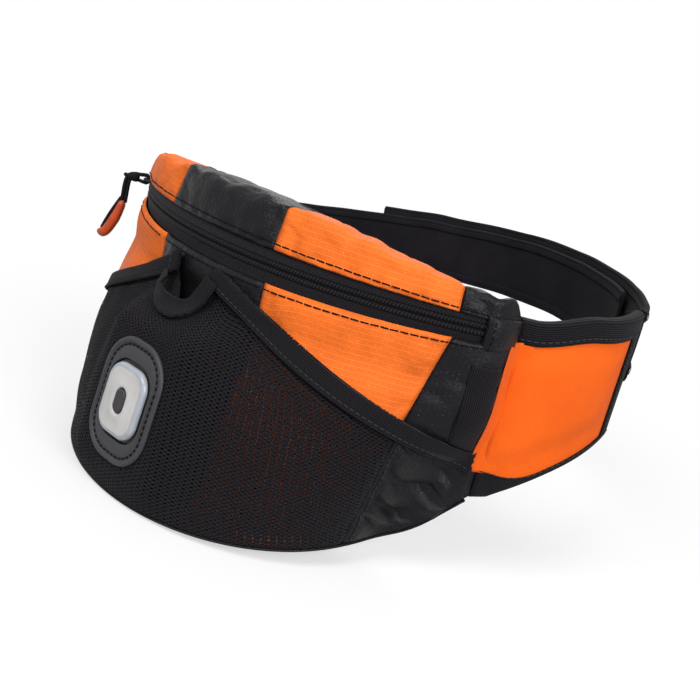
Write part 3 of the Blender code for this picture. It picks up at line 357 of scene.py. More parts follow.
def turned(u, side):
    """The share as it is (side 1) or turned round (side -1), so that mirrored pieces still face outwards."""
    return u if side > 0 else 1 - u


def edge_distance(share, length):
    """Distance in metres to the nearer end of a run of that length."""
    return np.minimum(share, 1 - share) * length


def normals_of(points):
    """Unit normals of a point grid, pointing along (column step) x (row step)."""
    across = np.gradient(points, axis=1)
    along = np.gradient(points, axis=0)
    normal = np.cross(across, along)
    return normal / np.maximum(np.linalg.norm(normal, axis=-1, keepdims=True), 1e-12)


def raised(points, height):
    return points + normals_of(points) * np.asarray(height)[..., None]


def settle(name, points, slack, pressure=0.0, inward=0.0009, outward=0.0018):
    """Lets cloth, cut larger than its place by slack and held along its seams, buckle; returns its points."""
    scene = bpy.context.scene
    rows, columns = points.shape[:2]
    obj = bpy.data.objects.new(name, grid_mesh(name, points * SETTLE_SCALE))
    scene.collection.objects.link(obj)
    index = np.arange(rows * columns).reshape(rows, columns)
    held = np.unique(np.concatenate([index[0], index[-1], index[:, 0], index[:, -1]]))
    obj.vertex_groups.new(name="seams").add(held.tolist(), 1.0, "REPLACE")
    modifier = obj.modifiers.new("settle", "CLOTH")
    cloth_settings = modifier.settings
    cloth_settings.vertex_group_mass = "seams"
    cloth_settings.quality = 4
    cloth_settings.mass = 0.15
    cloth_settings.bending_stiffness = 0.08
    cloth_settings.shrink_min = -slack
    cloth_settings.use_pressure = pressure > 0
    cloth_settings.uniform_pressure_force = pressure
    cloth_settings.effector_weights.gravity = 0.0
    for number in range(1, SETTLE_FRAMES + 1):
        scene.frame_set(number)
    done = obj.evaluated_get(bpy.context.evaluated_depsgraph_get()).data
    found = np.empty(len(done.vertices) * 3)
    done.vertices.foreach_get("co", found)
    scene.frame_set(1)
    bpy.data.objects.remove(obj)
    normals = normals_of(points)
    rise = ((found.reshape(points.shape) / SETTLE_SCALE - points) * normals).sum(-1)
    rise = np.where(rise > 0, outward * np.tanh(rise / outward), inward * np.tanh(rise / inward))
    return points + normals * rise[..., None]


def catmull(route, steps):
    """Smooth curve through the route's points."""
    ends = np.array([route[0], *route, route[-1]], float)
    found = []
    for a, b, c, d in zip(ends, ends[1:], ends[2:], ends[3:]):
        for t in np.arange(steps) / steps:
            bend = (2 * a - 5 * b + 4 * c - d) * t**2 + (3 * b - a - 3 * c + d) * t**3
            found.append(b + 0.5 * ((c - a) * t + bend))
    return np.array([*found, ends[-1]])


# Object makers
def keep(obj, surface, nodes=(), body="pack", slot=None):
    """Puts a finished piece into the scene: finish, body and CAD nodes it stands for; its slot is not used.
    """
    obj.data.materials.append(finish(surface))
    bpy.context.scene.collection.objects.link(obj)
    if body:
        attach(obj, body)
    if nodes:
        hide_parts(*nodes)
    slot or surface
    return obj


def quads(index):
    """Faces between the neighbours in a grid of point numbers."""
    return np.stack([index[:-1, :-1], index[:-1, 1:], index[1:, 1:], index[1:, :-1]], -1).reshape(-1, 4)


def step_lengths(points):
    """Lengths of a point grid's steps along its rows and down its columns."""
    return [np.linalg.norm(np.diff(points, axis=axis), axis=-1) for axis in (1, 0)]


def cut_size(points):
    """Width and length of the flat piece that a point grid was cut from."""
    step_u, step_v = step_lengths(points)
    return float(step_u.sum(1).max()), float(step_v.sum(0).max())


def grid_mesh(name, points):
    """Mesh over a point grid, with a UV layer that measures the cloth in metres."""
    rows, columns = points.shape[:2]
    faces = quads(np.arange(rows * columns).reshape(rows, columns))
    mesh = bpy.data.meshes.new(name)
    mesh.from_pydata(points.reshape(-1, 3), [], faces.tolist())
    step_u, step_v = step_lengths(points)
    run_u = np.concatenate([np.zeros((rows, 1)), np.cumsum(step_u, 1)], 1)
    run_v = np.concatenate([np.zeros((1, columns)), np.cumsum(step_v, 0)], 0)
    run_u = run_u - run_u[:, columns // 2, None]
    uv = np.stack([run_u, run_v], -1).reshape(-1, 2)
    layer = mesh.uv_layers.new(name="cloth")
    layer.data.foreach_set("uv", uv[faces.reshape(-1)].astype(np.float32).reshape(-1))
    mesh.shade_smooth()
    return mesh


def declare_sheet(points):
    """Measures the size that a sewn piece, held by its seams, was cut to; nothing is done with it."""
    width, length = cut_size(points)


def cloth(name, points, thickness, surface, nodes=(), body="pack", slot=None, side=-1, sheet=True):
    """A sewn piece over a point grid; side -1 puts its thickness behind the grid, 1 in front."""
    mesh = grid_mesh(name, points)
    obj = bpy.data.objects.new(name, mesh)
    solidify = obj.modifiers.new("thickness", "SOLIDIFY")
    solidify.thickness = thickness
    solidify.offset = side
    keep(obj, surface, nodes, body, slot)
    if sheet and min(cut_size(points)) > NARROWEST_SHEET:
        declare_sheet(points)
    return obj


def ring_stack(name, rings, closed=False):
    """Mesh through rings of equally many points; closed joins the last ring to the first."""
    rings = np.array(rings, float)
    count, around = rings.shape[:2]
    index = np.arange(count * around).reshape(count, around)
    if closed:
        index = np.concatenate([index, index[:1]])
    faces = quads(np.concatenate([index, index[:, :1]], 1)).tolist()
    if not closed:
        faces += [index[0, ::-1].tolist(), index[-1].tolist()]
    mesh = bpy.data.meshes.new(name)
    mesh.from_pydata(rings.reshape(-1, 3), [], faces)
    mesh.shade_smooth()
    return bpy.data.objects.new(name, mesh)


def ring(centre, across, deep, half_wide, half_deep, squareness=1.0):
    """Points round an oval, squarer as squareness falls below 1."""
    turns = np.linspace(0, 2 * math.pi, 20, endpoint=False)
    x = np.sign(np.cos(turns)) * np.abs(np.cos(turns)) ** squareness
    y = np.sign(np.sin(turns)) * np.abs(np.sin(turns)) ** squareness
    return centre + x[:, None] * across * half_wide + y[:, None] * deep * half_deep


def rod(name, points, radius, roundness=3):
    """Round rod along a run of points."""
    curve = bpy.data.curves.new(name, "CURVE")
    curve.dimensions = "3D"
    curve.bevel_depth = radius
    curve.bevel_resolution = roundness
    curve.use_fill_caps = True
    spline = curve.splines.new("POLY")
    spline.points.add(len(points) - 1)
    spline.points.foreach_set("co", np.c_[points, np.ones(len(points))].reshape(-1))
    return bpy.data.objects.new(name, curve)


def rounded_outline(size, inset=0.0, steps=8, spread=6):
    """Points round a rounded rectangle, the same number for every size."""
    radius = max(size[2] - inset, 0.0004)
    centre = np.array(size[:2]) / 2 - inset - radius
    signs = ((1, 1), (-1, 1), (-1, -1), (1, -1))

    def corner_point(quarter, angle):
        return centre * signs[quarter % 4] + radius * np.array([cos(angle), sin(angle)])

    points = []
    for quarter in range(4):
        for step in range(steps + 1):
            points.append(corner_point(quarter, 90.0 * (quarter + step / steps)))
        turn, after = points[-1], corner_point(quarter + 1, 90.0 * (quarter + 1))
        for step in range(1, spread):
            points.append(mix(turn, after, step / spread))
    return np.array(points)


def stitches(name, runs, size, surface="thread", body="pack"):
    """Thread dashes along runs of (points, normals)."""
    length, gap, width = size
    corners, faces = [], []
    for points, normals in runs:
        steps = np.linalg.norm(np.diff(points, axis=0), axis=1)
        travel = np.concatenate([[0.0], np.cumsum(steps)])
        for start in np.arange(gap, travel[-1] - length, length + gap):
            stations = start + length * np.array([0.0, 0.07, 0.93, 1.0])
            place = np.stack([np.interp(stations, travel, points[:, k]) for k in range(3)], -1)
            normal = np.stack([np.interp(stations, travel, normals[:, k]) for k in range(3)], -1)
            side = np.cross(normal, place[3] - place[0])
            side = side / np.linalg.norm(side, axis=1, keepdims=True)
            base = len(corners)
            corners.append(place[0] - normal[0] * width * 0.3)
            for k in (1, 2):
                for way in (side[k], 0.9 * normal[k], -side[k], -0.5 * normal[k]):
                    corners.append(place[k] + way * width)
            corners.append(place[3] - normal[3] * width * 0.3)
            for k in range(4):
                after = (k + 1) % 4
                faces.append((base, base + 1 + after, base + 1 + k))
                faces.append((base + 1 + k, base + 1 + after, base + 5 + after, base + 5 + k))
                faces.append((base + 5 + k, base + 5 + after, base + 9))
    mesh = bpy.data.meshes.new(name)
    mesh.from_pydata(corners, [], faces)
    mesh.shade_smooth()
    keep(bpy.data.objects.new(name, mesh), surface, (), body, "pull_cord")


def edge_run(points, row, lift=0.0003):
    """Run along a row of a point grid, or between two rows, just above it."""
    normals = normals_of(points)
    first, share = math.floor(row), row % 1
    place, normal = (mix(values[first], values[first + 1], share) for values in (points, normals))
    return place + normal * lift, normal


def column_run(points, column, lift=0.0003):
    normals = normals_of(points)
    return points[:, column] + normals[:, column] * lift, normals[:, column]


# Finishes
class Finish:
    """Builds one material from nodes; patterns read the cloth's own UV layer, in metres."""

    def __init__(self, name, colour, roughness, metallic=0.0, shine=0.05):
        self.material = bpy.data.materials.new(name)
        self.material.use_nodes = True
        self.tree = self.material.node_tree
        self.shader = self.tree.nodes["Principled BSDF"]
        self.base = colour
        self.set("Base Color", (*colour, 1.0))
        self.set("Roughness", roughness)
        self.set("Metallic", metallic)
        self.set("Specular IOR Level", shine)

    def set(self, socket, value):
        self.shader.inputs[socket].default_value = value

    def link(self, output, socket):
        self.tree.links.new(output, self.shader.inputs[socket])

    def put(self, node, index, value):
        if isinstance(value, bpy.types.NodeSocket):
            self.tree.links.new(value, node.inputs[index])
        elif value is not None:
            node.inputs[index].default_value = value

    def math(self, operation, a, b=None, c=None):
        node = self.tree.nodes.new("ShaderNodeMath")
        node.operation = operation
        for index, value in enumerate((a, b, c)):
            self.put(node, index, value)
        return node.outputs[0]

    def times(self, a, b, plus=None):
        """a times b, plus a third value where one is given."""
        return self.math("MULTIPLY" if plus is None else "MULTIPLY_ADD", a, b, plus)

    def cloth_axes(self):
        """The UV layer's two directions, in metres."""
        layer = self.tree.nodes.new("ShaderNodeUVMap")
        layer.uv_map = "cloth"
        split = self.tree.nodes.new("ShaderNodeSeparateXYZ")
        self.tree.links.new(layer.outputs["UV"], split.inputs[0])
        return split.outputs["X"], split.outputs["Y"]

    def wave(self, distance, pitch, shift=0.0):
        """Smooth ridges from 0 to 1 every pitch metres."""
        angle = self.times(distance, 2 * math.pi / pitch, shift)
        return self.times(self.math("SINE", angle), 0.5, 0.5)

    def ripple(self, distance, pitch):
        """Waves from -1 to 1 every pitch metres."""
        return self.math("COSINE", self.times(distance, 2 * math.pi / pitch))

    def near(self, value, centre, inner, outer):
        """1 within inner of the centre, falling to 0 at outer."""
        away = self.math("ABSOLUTE", self.math("SUBTRACT", value, centre))
        return self.ramp(away, inner, outer, 1.0, 0.0)

    def noise(self, scale, detail, rough=0.6):
        node = self.tree.nodes.new("ShaderNodeTexNoise")
        node.inputs["Scale"].default_value = scale
        node.inputs["Detail"].default_value = detail
        node.inputs["Roughness"].default_value = rough
        place = self.tree.nodes.new("ShaderNodeTexCoord")
        self.tree.links.new(place.outputs["Object"], node.inputs["Vector"])
        return node.outputs["Fac"]

    def ramp(self, value, low, high, to_low=0.0, to_high=1.0):
        node = self.tree.nodes.new("ShaderNodeMapRange")
        node.interpolation_type = "SMOOTHSTEP"
        for index, item in enumerate((value, low, high, to_low, to_high)):
            self.put(node, index, item)
        return node.outputs[0]

    def blend_colour(self, share, first, second):
        node = self.tree.nodes.new("ShaderNodeMix")
        node.data_type = "RGBA"
        self.put(node, 0, share)
        self.put(node, 6, first)
        self.put(node, 7, second)
        return node.outputs[2]

    def tone(self, factor):
        """The base colour made darker (below 1) or paler (above 1)."""
        return (*(min(1.0, c * factor) for c in self.base), 1.0)

    def lit(self, power):
        """The base colour lifted towards white, its bright channels least."""
        return (*(c**power for c in self.base), 1.0)

    def shade(self, share, first, second):
        """Colours the finish between two tones of its base colour."""
        self.link(self.blend_colour(share, self.tone(first), self.tone(second)), "Base Color")

    def sheen(self, weight, roughness=None):
        self.set("Sheen Weight", weight)
        if roughness:
            self.set("Sheen Roughness", roughness)

    def bump(self, height, distance, strength=1.0, under=None):
        node = self.tree.nodes.new("ShaderNodeBump")
        node.inputs["Distance"].default_value = distance
        node.inputs["Strength"].default_value = strength
        self.tree.links.new(height, node.inputs["Height"])
        if under is not None:
            self.tree.links.new(under, node.inputs["Normal"])
        self.link(node.outputs[0], "Normal")
        return node.outputs[0]


def ripstop(name, colour, roughness, shine, line, dot, crease):
    """Thin woven nylon: a grid of threads, dots where they cross, sparse glints and fine creases."""
    made = Finish(name, colour, roughness, 0.0, shine)
    x, y = made.cloth_axes()
    pitch = bpy.context.scene.waist_pack.ripstop_pitch
    line_x, line_y = (made.math("POWER", made.wave(axis, pitch), 12.0) for axis in (x, y))
    dots = made.math("POWER", made.times(made.wave(x, pitch), made.wave(y, pitch)), 4.0)
    between = made.times(made.wave(x, pitch, math.pi), made.wave(y, pitch, math.pi))
    glints = made.times(made.ramp(between, 0.86, 0.97), made.ramp(made.noise(210.0, 1.0), 0.56, 0.64))
    threads = made.times(made.wave(x, 0.0007), made.wave(y, 0.0007))
    mottle = made.noise(55.0, 5.0)
    lines = made.math("MAXIMUM", made.times(line_x, 0.4), line_y)
    shade = made.blend_colour(made.ramp(mottle, 0.35, 0.7), made.tone(0.88), made.tone(1.05))
    shade = made.blend_colour(made.times(lines, line), shade, made.lit(0.72))
    shade = made.blend_colour(made.times(dots, dot), shade, made.tone(0.35))
    made.link(made.blend_colour(made.times(glints, 0.7), shade, made.lit(0.5)), "Base Color")
    made.link(made.ramp(mottle, 0.3, 0.7, roughness - 0.06, roughness + 0.08), "Roughness")
    creases = made.bump(made.noise(150.0, 4.0, 0.6), crease, 0.6)
    height = made.times(lines, 0.45, made.times(threads, 0.35))
    made.bump(made.times(dots, -dot, height), 0.00016, 0.8, creases)
    made.sheen(0.02, 0.4)
    return made.material


def hole_mesh(name, colour):
    """Stretch knit with staggered open holes."""
    made = Finish(name, colour, 0.78)
    x, y = made.cloth_axes()
    pitch = bpy.context.scene.waist_pack.hole_pitch
    across = made.ripple(x, pitch)
    lattice = made.times(across, made.ripple(y, pitch * 0.54))
    # every second column of holes is drawn tighter
    limit = made.ramp(across, -0.4, 0.4, 0.70, 0.30)
    hole = made.ramp(made.math("SUBTRACT", lattice, limit), 0.0, 0.16)
    made.link(made.math("SUBTRACT", 1.0, hole), "Alpha")
    # painted shade: the knit is painted darker round its holes and paler on the ridges between them
    made.shade(made.ramp(lattice, -0.9, 0.4), 1.3, 0.6)
    ridge = made.times(made.math("ABSOLUTE", lattice), -0.7)
    made.bump(made.times(made.noise(900.0, 2.0), 0.4, ridge), 0.0005, 0.9)
    made.sheen(0.04)
    return made.material


def ribbed(name, colour, pitch, crosswise=False):
    """Elastic tape with ribs along its length."""
    made = Finish(name, colour, 0.7)
    x, y = made.cloth_axes()
    run, width = (y, x) if crosswise else (x, y)
    rib = made.wave(width, pitch)
    yarn = made.wave(run, 0.0009)
    fluff = made.noise(1400.0, 2.0)
    # painted highlight on the rib crests and painted shade in the valleys between them
    made.shade(made.times(rib, made.ramp(fluff, 0.2, 0.8, 0.5, 1.0)), 0.25, 1.8)
    made.bump(made.times(fluff, 0.25, made.times(yarn, 0.18, rib)), 0.0003, 0.9)
    made.sheen(0.04, 0.5)
    return made.material


def zip_weave(name, colour):
    """Herringbone tape; loops of the coil's sewing show beside the closing line, where y is smallest."""
    made = Finish(name, colour, 0.6)
    x, y = made.cloth_axes()
    slant = made.wave(made.times(y, 1.5, x), 0.0017)
    loops = made.math("POWER", made.wave(made.times(y, -0.35, x), 0.0017), 1.6)
    row = made.near(y, 0.0021, 0.0008, 0.0013)
    outside = made.ramp(y, 0.0036, 0.0040)
    groove = made.near(y, 0.0037, 0.0, 0.0005)
    height = made.times(loops, made.times(row, 0.9), made.times(slant, outside))
    height = made.math("SUBTRACT", height, made.times(groove, 0.5))
    # painted light: the raised weave and coil loops are painted paler and the grooves darker, following the
    # bump's height
    made.shade(made.ramp(height, -0.1, 0.9), 0.25, 2.0)
    made.bump(height, 0.0004, 1.0)
    made.sheen(0.03)
    return made.material


def brushed(name, colour, roughness, streak, sheen):
    """Brushed knit: fine nap with faint mottling."""
    made = Finish(name, colour, roughness)
    nap = made.noise(2200.0, 2.0, 0.7)
    cloud = made.noise(38.0, 4.0)
    shade = made.blend_colour(made.ramp(cloud, 0.3, 0.7), made.tone(1 - streak), made.tone(1 + streak))
    made.link(made.blend_colour(made.ramp(nap, 0.35, 0.7, 0.0, 0.55), shade, made.tone(0.72)), "Base Color")
    made.bump(nap, 0.00022, 0.7, made.bump(cloud, 0.0012, 0.25))
    made.sheen(sheen, 0.45)
    return made.material


def air_mesh(name, colour):
    """Thick spacer knit with rows of rounded cells."""
    made = Finish(name, colour, 0.9)
    x, y = made.cloth_axes()
    cell = made.ramp(made.times(made.ripple(x, 0.0042), made.ripple(y, 0.0036)), 0.05, 0.75)
    # painted shade: the recessed cells are painted darker and the ridges between them paler
    made.shade(cell, 1.8, 0.4)
    made.bump(made.times(made.noise(1500.0, 2.0), 0.25, made.times(cell, -1.0)), 0.0008, 1.0)
    made.sheen(0.04)
    return made.material


def moulded(name, colour, roughness, grain=500.0, metallic=0.0, depth=0.00008):
    """Moulded rubber, plastic or coated metal with a fine grain and worn, paler patches."""
    made = Finish(name, colour, roughness, metallic, 0.4)
    wear = made.noise(70.0, 5.0)
    made.shade(made.ramp(wear, 0.45, 0.8), 0.92, 1.35)
    made.link(made.ramp(wear, 0.3, 0.75, roughness - 0.05, roughness + 0.1), "Roughness")
    made.bump(made.noise(grain, 3.0), depth, 0.5)
    return made.material


def lens_plastic(name, colour):
    """Milky light cover with a faint grain and a clear coat."""
    made = Finish(name, colour, 0.32, 0.0, 0.4)
    made.shade(made.ramp(made.noise(60.0, 3.0), 0.3, 0.7), 0.86, 1.06)
    made.bump(made.noise(300.0, 2.0), 0.00006, 0.3)
    made.set("Subsurface Weight", 0.35)
    made.set("Subsurface Radius", (0.004, 0.004, 0.0045))
    made.set("Coat Weight", 0.3)
    made.set("Coat Roughness", 0.15)
    return made.material


def braid(name, colour):
    """Braided cord or sewing thread."""
    made = Finish(name, colour, 0.6)
    twist = made.noise(2500.0, 2.0)
    made.shade(twist, 0.6, 1.5)
    made.bump(twist, 0.0002, 0.8)
    return made.material


FINISHES = {}


def finish(name):
    """A finish by name, made on first use from the sidebar's colours."""
    if name not in FINISHES:
        look = bpy.context.scene.waist_pack
        black, ribs = tuple(look.black), look.rib_pitch
        deep_black = tuple(0.66 * c for c in black)
        makers = {
            "ripstop_orange": (ripstop, tuple(look.orange), 0.5, 0.06, 0.5, 0.12, 0.0011),
            "ripstop_black": (ripstop, deep_black, 0.34, 0.12, 0.1, 0.9, 0.0013),
            "pocket_mesh": (hole_mesh, black),
            "webbing": (ribbed, black, ribs),
            "webbing_upright": (ribbed, black, ribs, True),
            "zip_tape": (zip_weave, black),
            "wing_face": (brushed, tuple(look.wing_orange), 0.75, 0.05, 0.08),
            "wing_lining": (brushed, black, 0.85, 0.2, 0.04),
            "strap": (brushed, black, 0.85, 0.25, 0.04),
            "hook_and_loop": (brushed, black, 0.95, 0.35, 0.06),
            "air_mesh": (air_mesh, black),
            "padding": (moulded, (0.05, 0.05, 0.05), 0.95, 900.0, 0.0, 0.0004),
            "zip_coil": (moulded, (0.012, 0.012, 0.013), 0.35),
            "slider_metal": (moulded, (0.03, 0.03, 0.032), 0.35, 300.0, 0.7),
            "pull_cord": (braid, black),
            "pull_grip": (moulded, tuple(look.grip_orange), 0.42, 400.0),
            "thread": (braid, (0.006, 0.006, 0.007)),
            "thread_grey": (braid, (0.035, 0.035, 0.038)),
            "light_rubber": (moulded, tuple(look.light_rubber), 0.55, 700.0),
            # a darker, bluer copy of the lens plastic: painted shade for the cover's side
            "lens_rim": (lens_plastic, (0.36, 0.385, 0.43)),
            "light_case": (moulded, (0.02, 0.02, 0.02), 0.5),
            "light_lens": (lens_plastic, tuple(look.lens)),
            "cell_steel": (moulded, (0.5, 0.5, 0.5), 0.3, 300.0, 1.0),
            "circuit_board": (moulded, (0.02, 0.16, 0.06), 0.45),
            "diode": (moulded, (0.85, 0.80, 0.55), 0.25),
        }
        maker, *values = makers[name]
        FINISHES[name] = maker(name, *values)
    return FINISHES[name]


def dress_node(node, name, bevel=0.0):
    """Gives a carried-over CAD node its finish and softens its edges."""
    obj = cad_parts[node]
    obj.data.materials.clear()
    obj.data.materials.append(finish(name))
    if bevel:
        edge = obj.modifiers.new("edge", "BEVEL")
        edge.width = bevel
        edge.segments = 3
        edge.limit_method = "ANGLE"
        edge.angle_limit = math.radians(35)


class WaistPackLook(bpy.types.PropertyGroup):
    """Sizes and colours of the looks."""

    ripstop_pitch: bpy.props.FloatProperty(
        name="Ripstop grid", description="Spacing of the woven grid",
        default=0.0027, unit="LENGTH", precision=4)
    hole_pitch: bpy.props.FloatProperty(
        name="Mesh holes", description="Spacing of the pocket mesh's columns of large holes",
        default=0.0038, unit="LENGTH", precision=4)
    rib_pitch: bpy.props.FloatProperty(
        name="Webbing ribs", description="Spacing of the ribs in bindings",
        default=0.0011, unit="LENGTH", precision=4)
    crease_depth: bpy.props.FloatProperty(
        name="Creases", description="Depth of the creases in the thin panels",
        default=0.0007, unit="LENGTH", precision=4)
    stitch_length: bpy.props.FloatProperty(
        name="Stitch", description="Length of one topstitch",
        default=0.0042, unit="LENGTH", precision=4)
    black: bpy.props.FloatVectorProperty(
        name="Black cloth", description="Colour of black fabric",
        default=(0.0118, 0.0106, 0.0132), subtype="COLOR", min=0, max=1)
    orange: bpy.props.FloatVectorProperty(
        name="Orange ripstop", description="Colour of the thin orange panels",
        default=(0.82, 0.152, 0.020), subtype="COLOR", min=0, max=1)
    wing_orange: bpy.props.FloatVectorProperty(
        name="Orange knit", description="Colour of the belt wings",
        default=(0.92, 0.135, 0.012), subtype="COLOR", min=0, max=1)
    grip_orange: bpy.props.FloatVectorProperty(
        name="Pull grip", description="Colour of the zip pull's grip",
        default=(0.56, 0.075, 0.018), subtype="COLOR", min=0, max=1)
    light_rubber: bpy.props.FloatVectorProperty(
        name="Light rubber", description="Colour of the light's patch and button",
        default=(0.028, 0.0275, 0.032), subtype="COLOR", min=0, max=1)
    lens: bpy.props.FloatVectorProperty(
        name="Light lens", description="Colour of the light's cover",
        default=(0.54, 0.53, 0.515), subtype="COLOR", min=0, max=1)
    room_light: bpy.props.FloatProperty(
        name="Room light", description="Strength of the light from all sides",
        default=0.38, min=0, max=2)


PANELS = (
    ("end_left", -PACK_END, -SEAM_OUTER, "ripstop_black"),
    ("panel_left", -SEAM_OUTER, -SEAM_CENTRE, "ripstop_orange"),
    ("panel_centre", -SEAM_CENTRE, SEAM_CENTRE, "ripstop_black"),
    ("panel_right", SEAM_CENTRE, SEAM_OUTER, "ripstop_orange"),
    ("end_right", SEAM_OUTER, PACK_END, "ripstop_black"),
)


class BackPanel(bpy.types.Operator):
    """Builds the padded back panel with its air mesh and lining"""

    bl_idname = "waist_pack.back_panel"
    bl_label = "Back Panel"

    def execute(self, context):
        u, v = grid(130, 60)
        phi = mix(PACK_END, -PACK_END, u)
        height = mix(bottom_height(phi), top_height(phi) - TOP_SAG - 0.0016, v)
        rim = np.minimum(edge_distance(u, 0.30), edge_distance(v, 0.15))
        crown = 0.0014 * (1 - np.exp(-rim / 0.008))
        for groove in BACK_GROOVES:
            crown = crown + seam_dip((phi - groove) * 0.0029, 0.0016, 0.0035)
        points = pack_point(phi, back_rho(phi) - BACK_SEAT - crown + 0.0009, height)
        pad = cloth("back_pad", points, BACK_PAD, "air_mesh", ["back_mesh", "back_foam"], sheet=False)

        u, v = grid(60, 24)
        phi = mix(-PACK_END, PACK_END, u)
        height = mix(bottom_height(phi), top_height(phi) - TOP_SAG - 0.0018, v)
        lining = pack_point(phi, back_rho(phi) + 0.0025, height)
        cloth("back_lining_cloth", lining, PANEL_CLOTH, "ripstop_black", ["back_lining"], slot="air_mesh")

        # binding over the top edge of the panel
        u, v = grid(120, 8)
        phi = mix(-PACK_END + 0.5, PACK_END - 0.5, u)
        turn = mix(-40.0, 220.0, v)
        rho = back_rho(phi) + 0.0006 + 0.0040 * cos(turn)
        height = top_height(phi) - TOP_SAG - 0.0026 + 0.0028 * sin(turn)
        cloth("back_top_binding", pack_point(phi, rho, height), BACK_TAPE, "webbing", sheet=False)
        return {"FINISHED"}


class UpperBand(bpy.types.Operator):
    """Builds the upper panels, which rise from the zip and fold over to the back"""

    bl_idname = "waist_pack.upper_band"
    bl_label = "Upper Band"

    def execute(self, context):
        look = context.scene.waist_pack
        runs = []
        for number, (part, start, end, surface) in enumerate(PANELS):
            u, v = grid(max(12, round((end - start) * 1.5)), 44)
            phi = mix(start, end, u)
            points = band_point(phi, v)
            run, climb = phi * DEGREE_RUN, v * BAND_LENGTH
            # the band's ends lift a little, dip beside the zip's tab and fall at the corner
            lift = 0.0045 * smooth((np.abs(phi) - 43.5) / 8.5) * smooth((1 - v) / 0.35)
            corner = smooth((np.abs(phi) - 51.0) / 4.2) ** 2
            dip = bell(np.abs(phi) - 49.4, 1.5)
            points[..., 2] += (lift - corner * 0.0085 - dip * 0.0012) * smooth(v / 0.4)
            points[..., 2] += 0.0007 * crumple(run, 0.0, 0.02, 7) * smooth((v - 0.2) / 0.3) * (1 - corner)
            folds = crumple(run, climb, 0.026, 11 + number, 1.6)
            pucker = np.sin(run * 2 * math.pi / 0.0135 + 2 * folds) * np.exp(-v * 5.0)
            away = edge_distance(u, math.radians(end - start) * ZIP_RADIUS)
            calm = smooth(away / 0.006) * smooth(v * 9)
            calm = calm * (1 - 0.6 * smooth((v - 0.75) / 0.25)) * end_share(phi)
            rise = look.crease_depth * (0.8 * folds + 0.5 * pucker) * calm
            rise = rise + seam_dip(away, 0.0007, 0.0016) + seam_dip(climb, 0.0004, 0.0012)
            points = settle(part, raised(points, rise), 0.022, 0.2, 0.0009, 0.0012)
            cloth(f"upper_{part}_cloth", points, PANEL_CLOTH, surface, [f"upper_{part}"])
            runs.append(edge_run(points, 3))
        stitches("upper_stitching", runs, (look.stitch_length, *PANEL_STITCH))
        return {"FINISHED"}


class LowerFront(bpy.types.Operator):
    """Builds the lower front panels, which run down behind the mesh pocket, and the bottom"""

    bl_idname = "waist_pack.lower_front"
    bl_label = "Lower Front"

    def execute(self, context):
        look = context.scene.waist_pack
        runs = []
        for number, (part, start, end, surface) in enumerate(PANELS):
            u, v = grid(max(12, round((end - start) * 1.3)), 56)
            phi = mix(start, end, u)
            for edge, share in ((start, 1 - u), (end, u)):
                if abs(edge) == SEAM_OUTER:
                    phi = phi - math.copysign(SEAM_LEAN, edge) * share * (1 - v)
            height = mix(bottom_height(phi) + 2 * GAP, ZIP_HEIGHT - zip_half(phi), v)
            points = front_point(phi, height, -pocket_room(phi, height))
            folds = crumple(phi * DEGREE_RUN, height, 0.034, 41 + number, 1.6)
            away = edge_distance(u, math.radians(end - start) * ZIP_RADIUS)
            below = (1 - v) * FRONT_LENGTH
            rise = look.crease_depth * 0.9 * folds * smooth(away / 0.008)
            rise = rise * smooth(below / 0.008) * end_share(phi)
            rise = rise + seam_dip(away, 0.0006, 0.0016) + seam_dip(below, 0.0004, 0.0012)
            rise = rise * smooth((front_depth(phi, height) - LEAST_DEPTH) / 0.004)
            points = settle(part, raised(points, rise), 0.03, 0.6)
            cloth(f"lower_{part}_cloth", points, PANEL_CLOTH, surface, [f"lower_{part}"])
            runs.append(edge_run(points, -2.35))
        stitches("lower_stitching", runs, (look.stitch_length, *PANEL_STITCH))
        self.bottom()
        return {"FINISHED"}

    def bottom(self):
        u, v = grid(100, 14)
        phi = mix(-PACK_END + 0.4, PACK_END - 0.4, u)
        floor = bottom_height(phi)
        inner = back_rho(phi) + BACK_SEAT
        layer = LAYER * (1 - smooth((np.abs(phi) - 47.0) / 6.0))
        rho = mix(inner, inner + front_depth(phi, floor) + layer, v)
        sag = np.abs(crumple(phi * DEGREE_RUN, v * 0.05, 0.02, 71)) * sin(180 * v)
        points = pack_point(phi, rho, floor - GAP - 0.0008 * sag)
        cloth("bottom_cloth", points, FLOOR_CLOTH, "ripstop_black", ["bottom_panel"], side=1)


